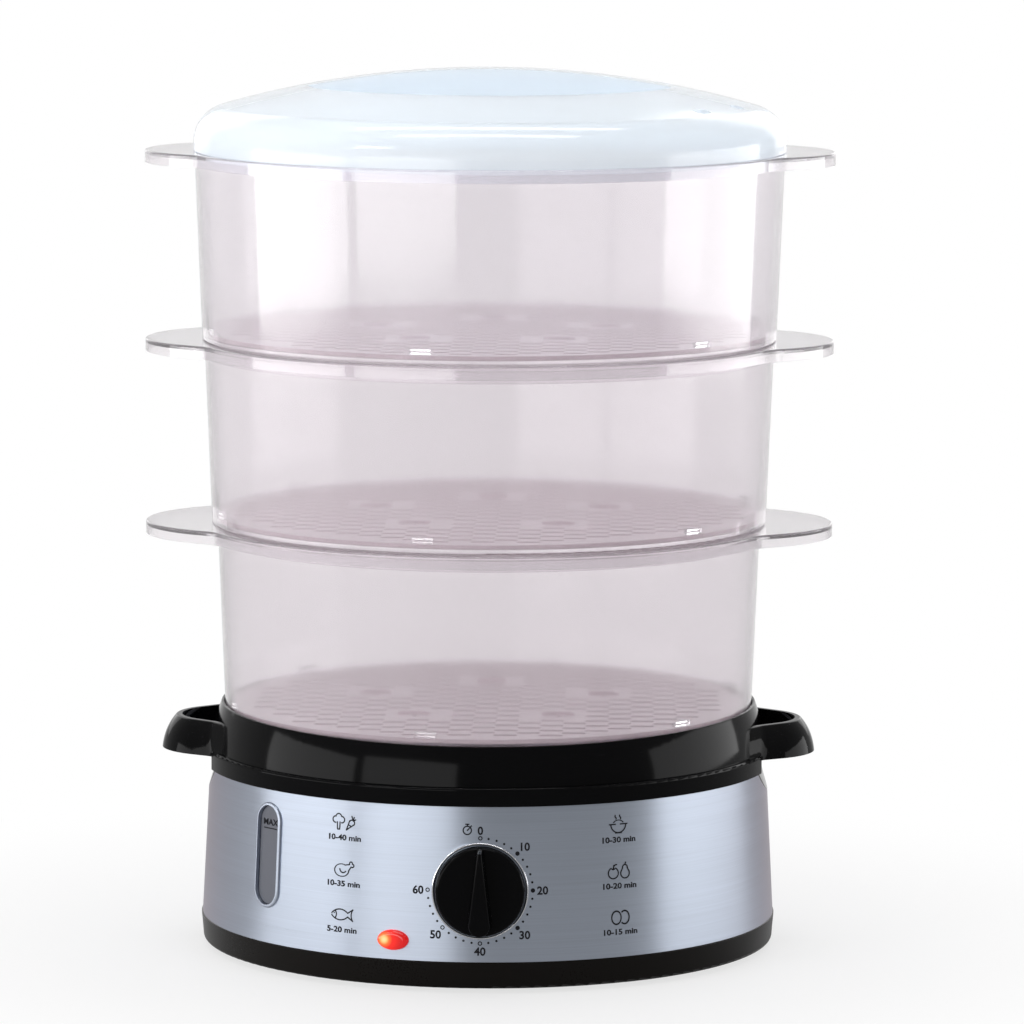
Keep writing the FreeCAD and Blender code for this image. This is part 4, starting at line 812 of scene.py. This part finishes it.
def ray_kinds(tree):
    """Two outputs: one for rays from the camera, also through clear plastic, and one for reflections."""
    path = tree.nodes.new("ShaderNodeLightPath")
    seen = maths(tree, "MAXIMUM", path.outputs["Is Camera Ray"], path.outputs["Is Transmission Ray"])
    return seen, path.outputs["Is Glossy Ray"]


def facing(tree, way, angle, cosines, levels):
    """Brightness of one way: blends between two levels as the way turns towards an angle from the front.

    The cosines of the angle that is left to turn say where the blend begins and ends.
    """
    towards = vector_maths(tree, "DOT_PRODUCT", way, (math.sin(angle), -math.cos(angle), 0))
    return map_range(tree, towards.outputs["Value"], cosines, levels, "SMOOTHSTEP")


def dark_front(tree, coordinates):
    """Brightness of the surroundings: darkest before the steamer and brightest behind it."""
    level_way = vector_maths(tree, "MULTIPLY", coordinates, (1, 1, 0))
    way = vector_maths(tree, "NORMALIZE", level_way.outputs["Vector"]).outputs["Vector"]
    sides = facing(tree, way, math.radians(20), cosines=(0.5, 0.9), levels=(0.52, 0.34))
    back = facing(tree, way, math.radians(180), cosines=(0.8, 0.97), levels=(0.0, 0.32))
    return maths(tree, "ADD", sides, back)


def make_room(strength):
    """Light from all round, darker at the front, where the camera stands. The camera sees it as white."""
    world = bpy.data.worlds.new("studio")
    bpy.context.scene.world = world
    world.use_nodes = True
    tree = world.node_tree
    tree.nodes.clear()
    end = tree.nodes.new("ShaderNodeOutputWorld")
    coordinates = tree.nodes.new("ShaderNodeTexCoord")
    around = dark_front(tree, coordinates.outputs["Generated"])
    seen, mirrored = ray_kinds(tree)
    graded = maths(tree, "MULTIPLY", mirrored, around)
    level = maths(tree, "MULTIPLY", around, strength)
    brightness = maths(tree, "MAXIMUM", maths(tree, "MAXIMUM", level, graded), seen)
    glow = add_node(tree, "ShaderNodeBackground", Color=WHITE)
    tree.links.new(brightness, glow.inputs["Strength"])
    tree.links.new(glow.outputs[0], end.inputs["Surface"])


def make_softbox(name, place, width, tall, brightness):
    """Flat lamp that faces the middle of the steamer. Its power follows from its face's brightness."""
    steamer_middle = Vector((0, 0, 0.19))
    light = bpy.data.lights.new(name, "AREA")
    light.shape, light.size, light.size_y = "RECTANGLE", width, tall
    light.energy = brightness * math.pi * width * tall
    lamp = new_object(name, light)
    lamp.location = place
    lamp.rotation_euler = (steamer_middle - place).to_track_quat("-Z", "Y").to_euler()


def make_camera(studio):
    """Camera at the front, a little above the lid, with a long lens."""
    data = bpy.data.cameras.new("camera")
    data.sensor_width, data.lens = 36.0, 221.4
    camera = new_object("camera", data)
    angle, away = studio.camera_angle, studio.camera_away
    down, aside, roll = math.radians(7.10), math.radians(-0.211), math.radians(0.2)
    place = Matrix.Translation((away * math.sin(angle), -away * math.cos(angle), studio.camera_height))
    turn = Matrix.Rotation(angle + aside, 4, "Z") @ Matrix.Rotation(math.pi / 2 - down, 4, "X")
    camera.matrix_world = place @ turn @ Matrix.Rotation(roll, 4, "Z")
    bpy.context.scene.camera = camera


class STEAMER_PT_panel(Panel):
    """Sizes and colours of the steamer, and the steps that make it"""

    bl_idname = "STEAMER_PT_panel"
    bl_label = "Food steamer"
    bl_space_type = "VIEW_3D"
    bl_region_type = "UI"
    bl_category = "Steamer"

    def draw(self, context):
        for name, settings in settings_groups.items():
            box = self.layout.box()
            group = getattr(context.scene, name)
            for value in settings.__annotations__:
                box.prop(group, value)
        for step in steps:
            self.layout.operator(step.bl_idname)


settings_groups = {
    "steamer_print": SteamerPrint,
    "steamer_finish": SteamerFinish,
    "steamer_studio": SteamerStudio,
}
steps = (
    STEAMER_OT_set_stage,
    STEAMER_OT_dress_parts,
    STEAMER_OT_print_dial,
    STEAMER_OT_print_foods,
    STEAMER_OT_print_max,
)
classes = (*settings_groups.values(), *steps, STEAMER_PT_panel)


def register():
    """Adds the settings, the steps and the panel to Blender."""
    for item in classes:
        bpy.utils.register_class(item)
    for name, settings in settings_groups.items():
        setattr(bpy.types.Scene, name, PointerProperty(type=settings))


def unregister():
    """Takes them out of Blender again."""
    for name in settings_groups:
        delattr(bpy.types.Scene, name)
    for item in reversed(classes):
        bpy.utils.unregister_class(item)


def main():
    """Makes the whole steamer."""
    register()
    for step in steps:
        getattr(bpy.ops.steamer, step.bl_idname.split(".")[1])()


if __name__ == "__main__":
    main()
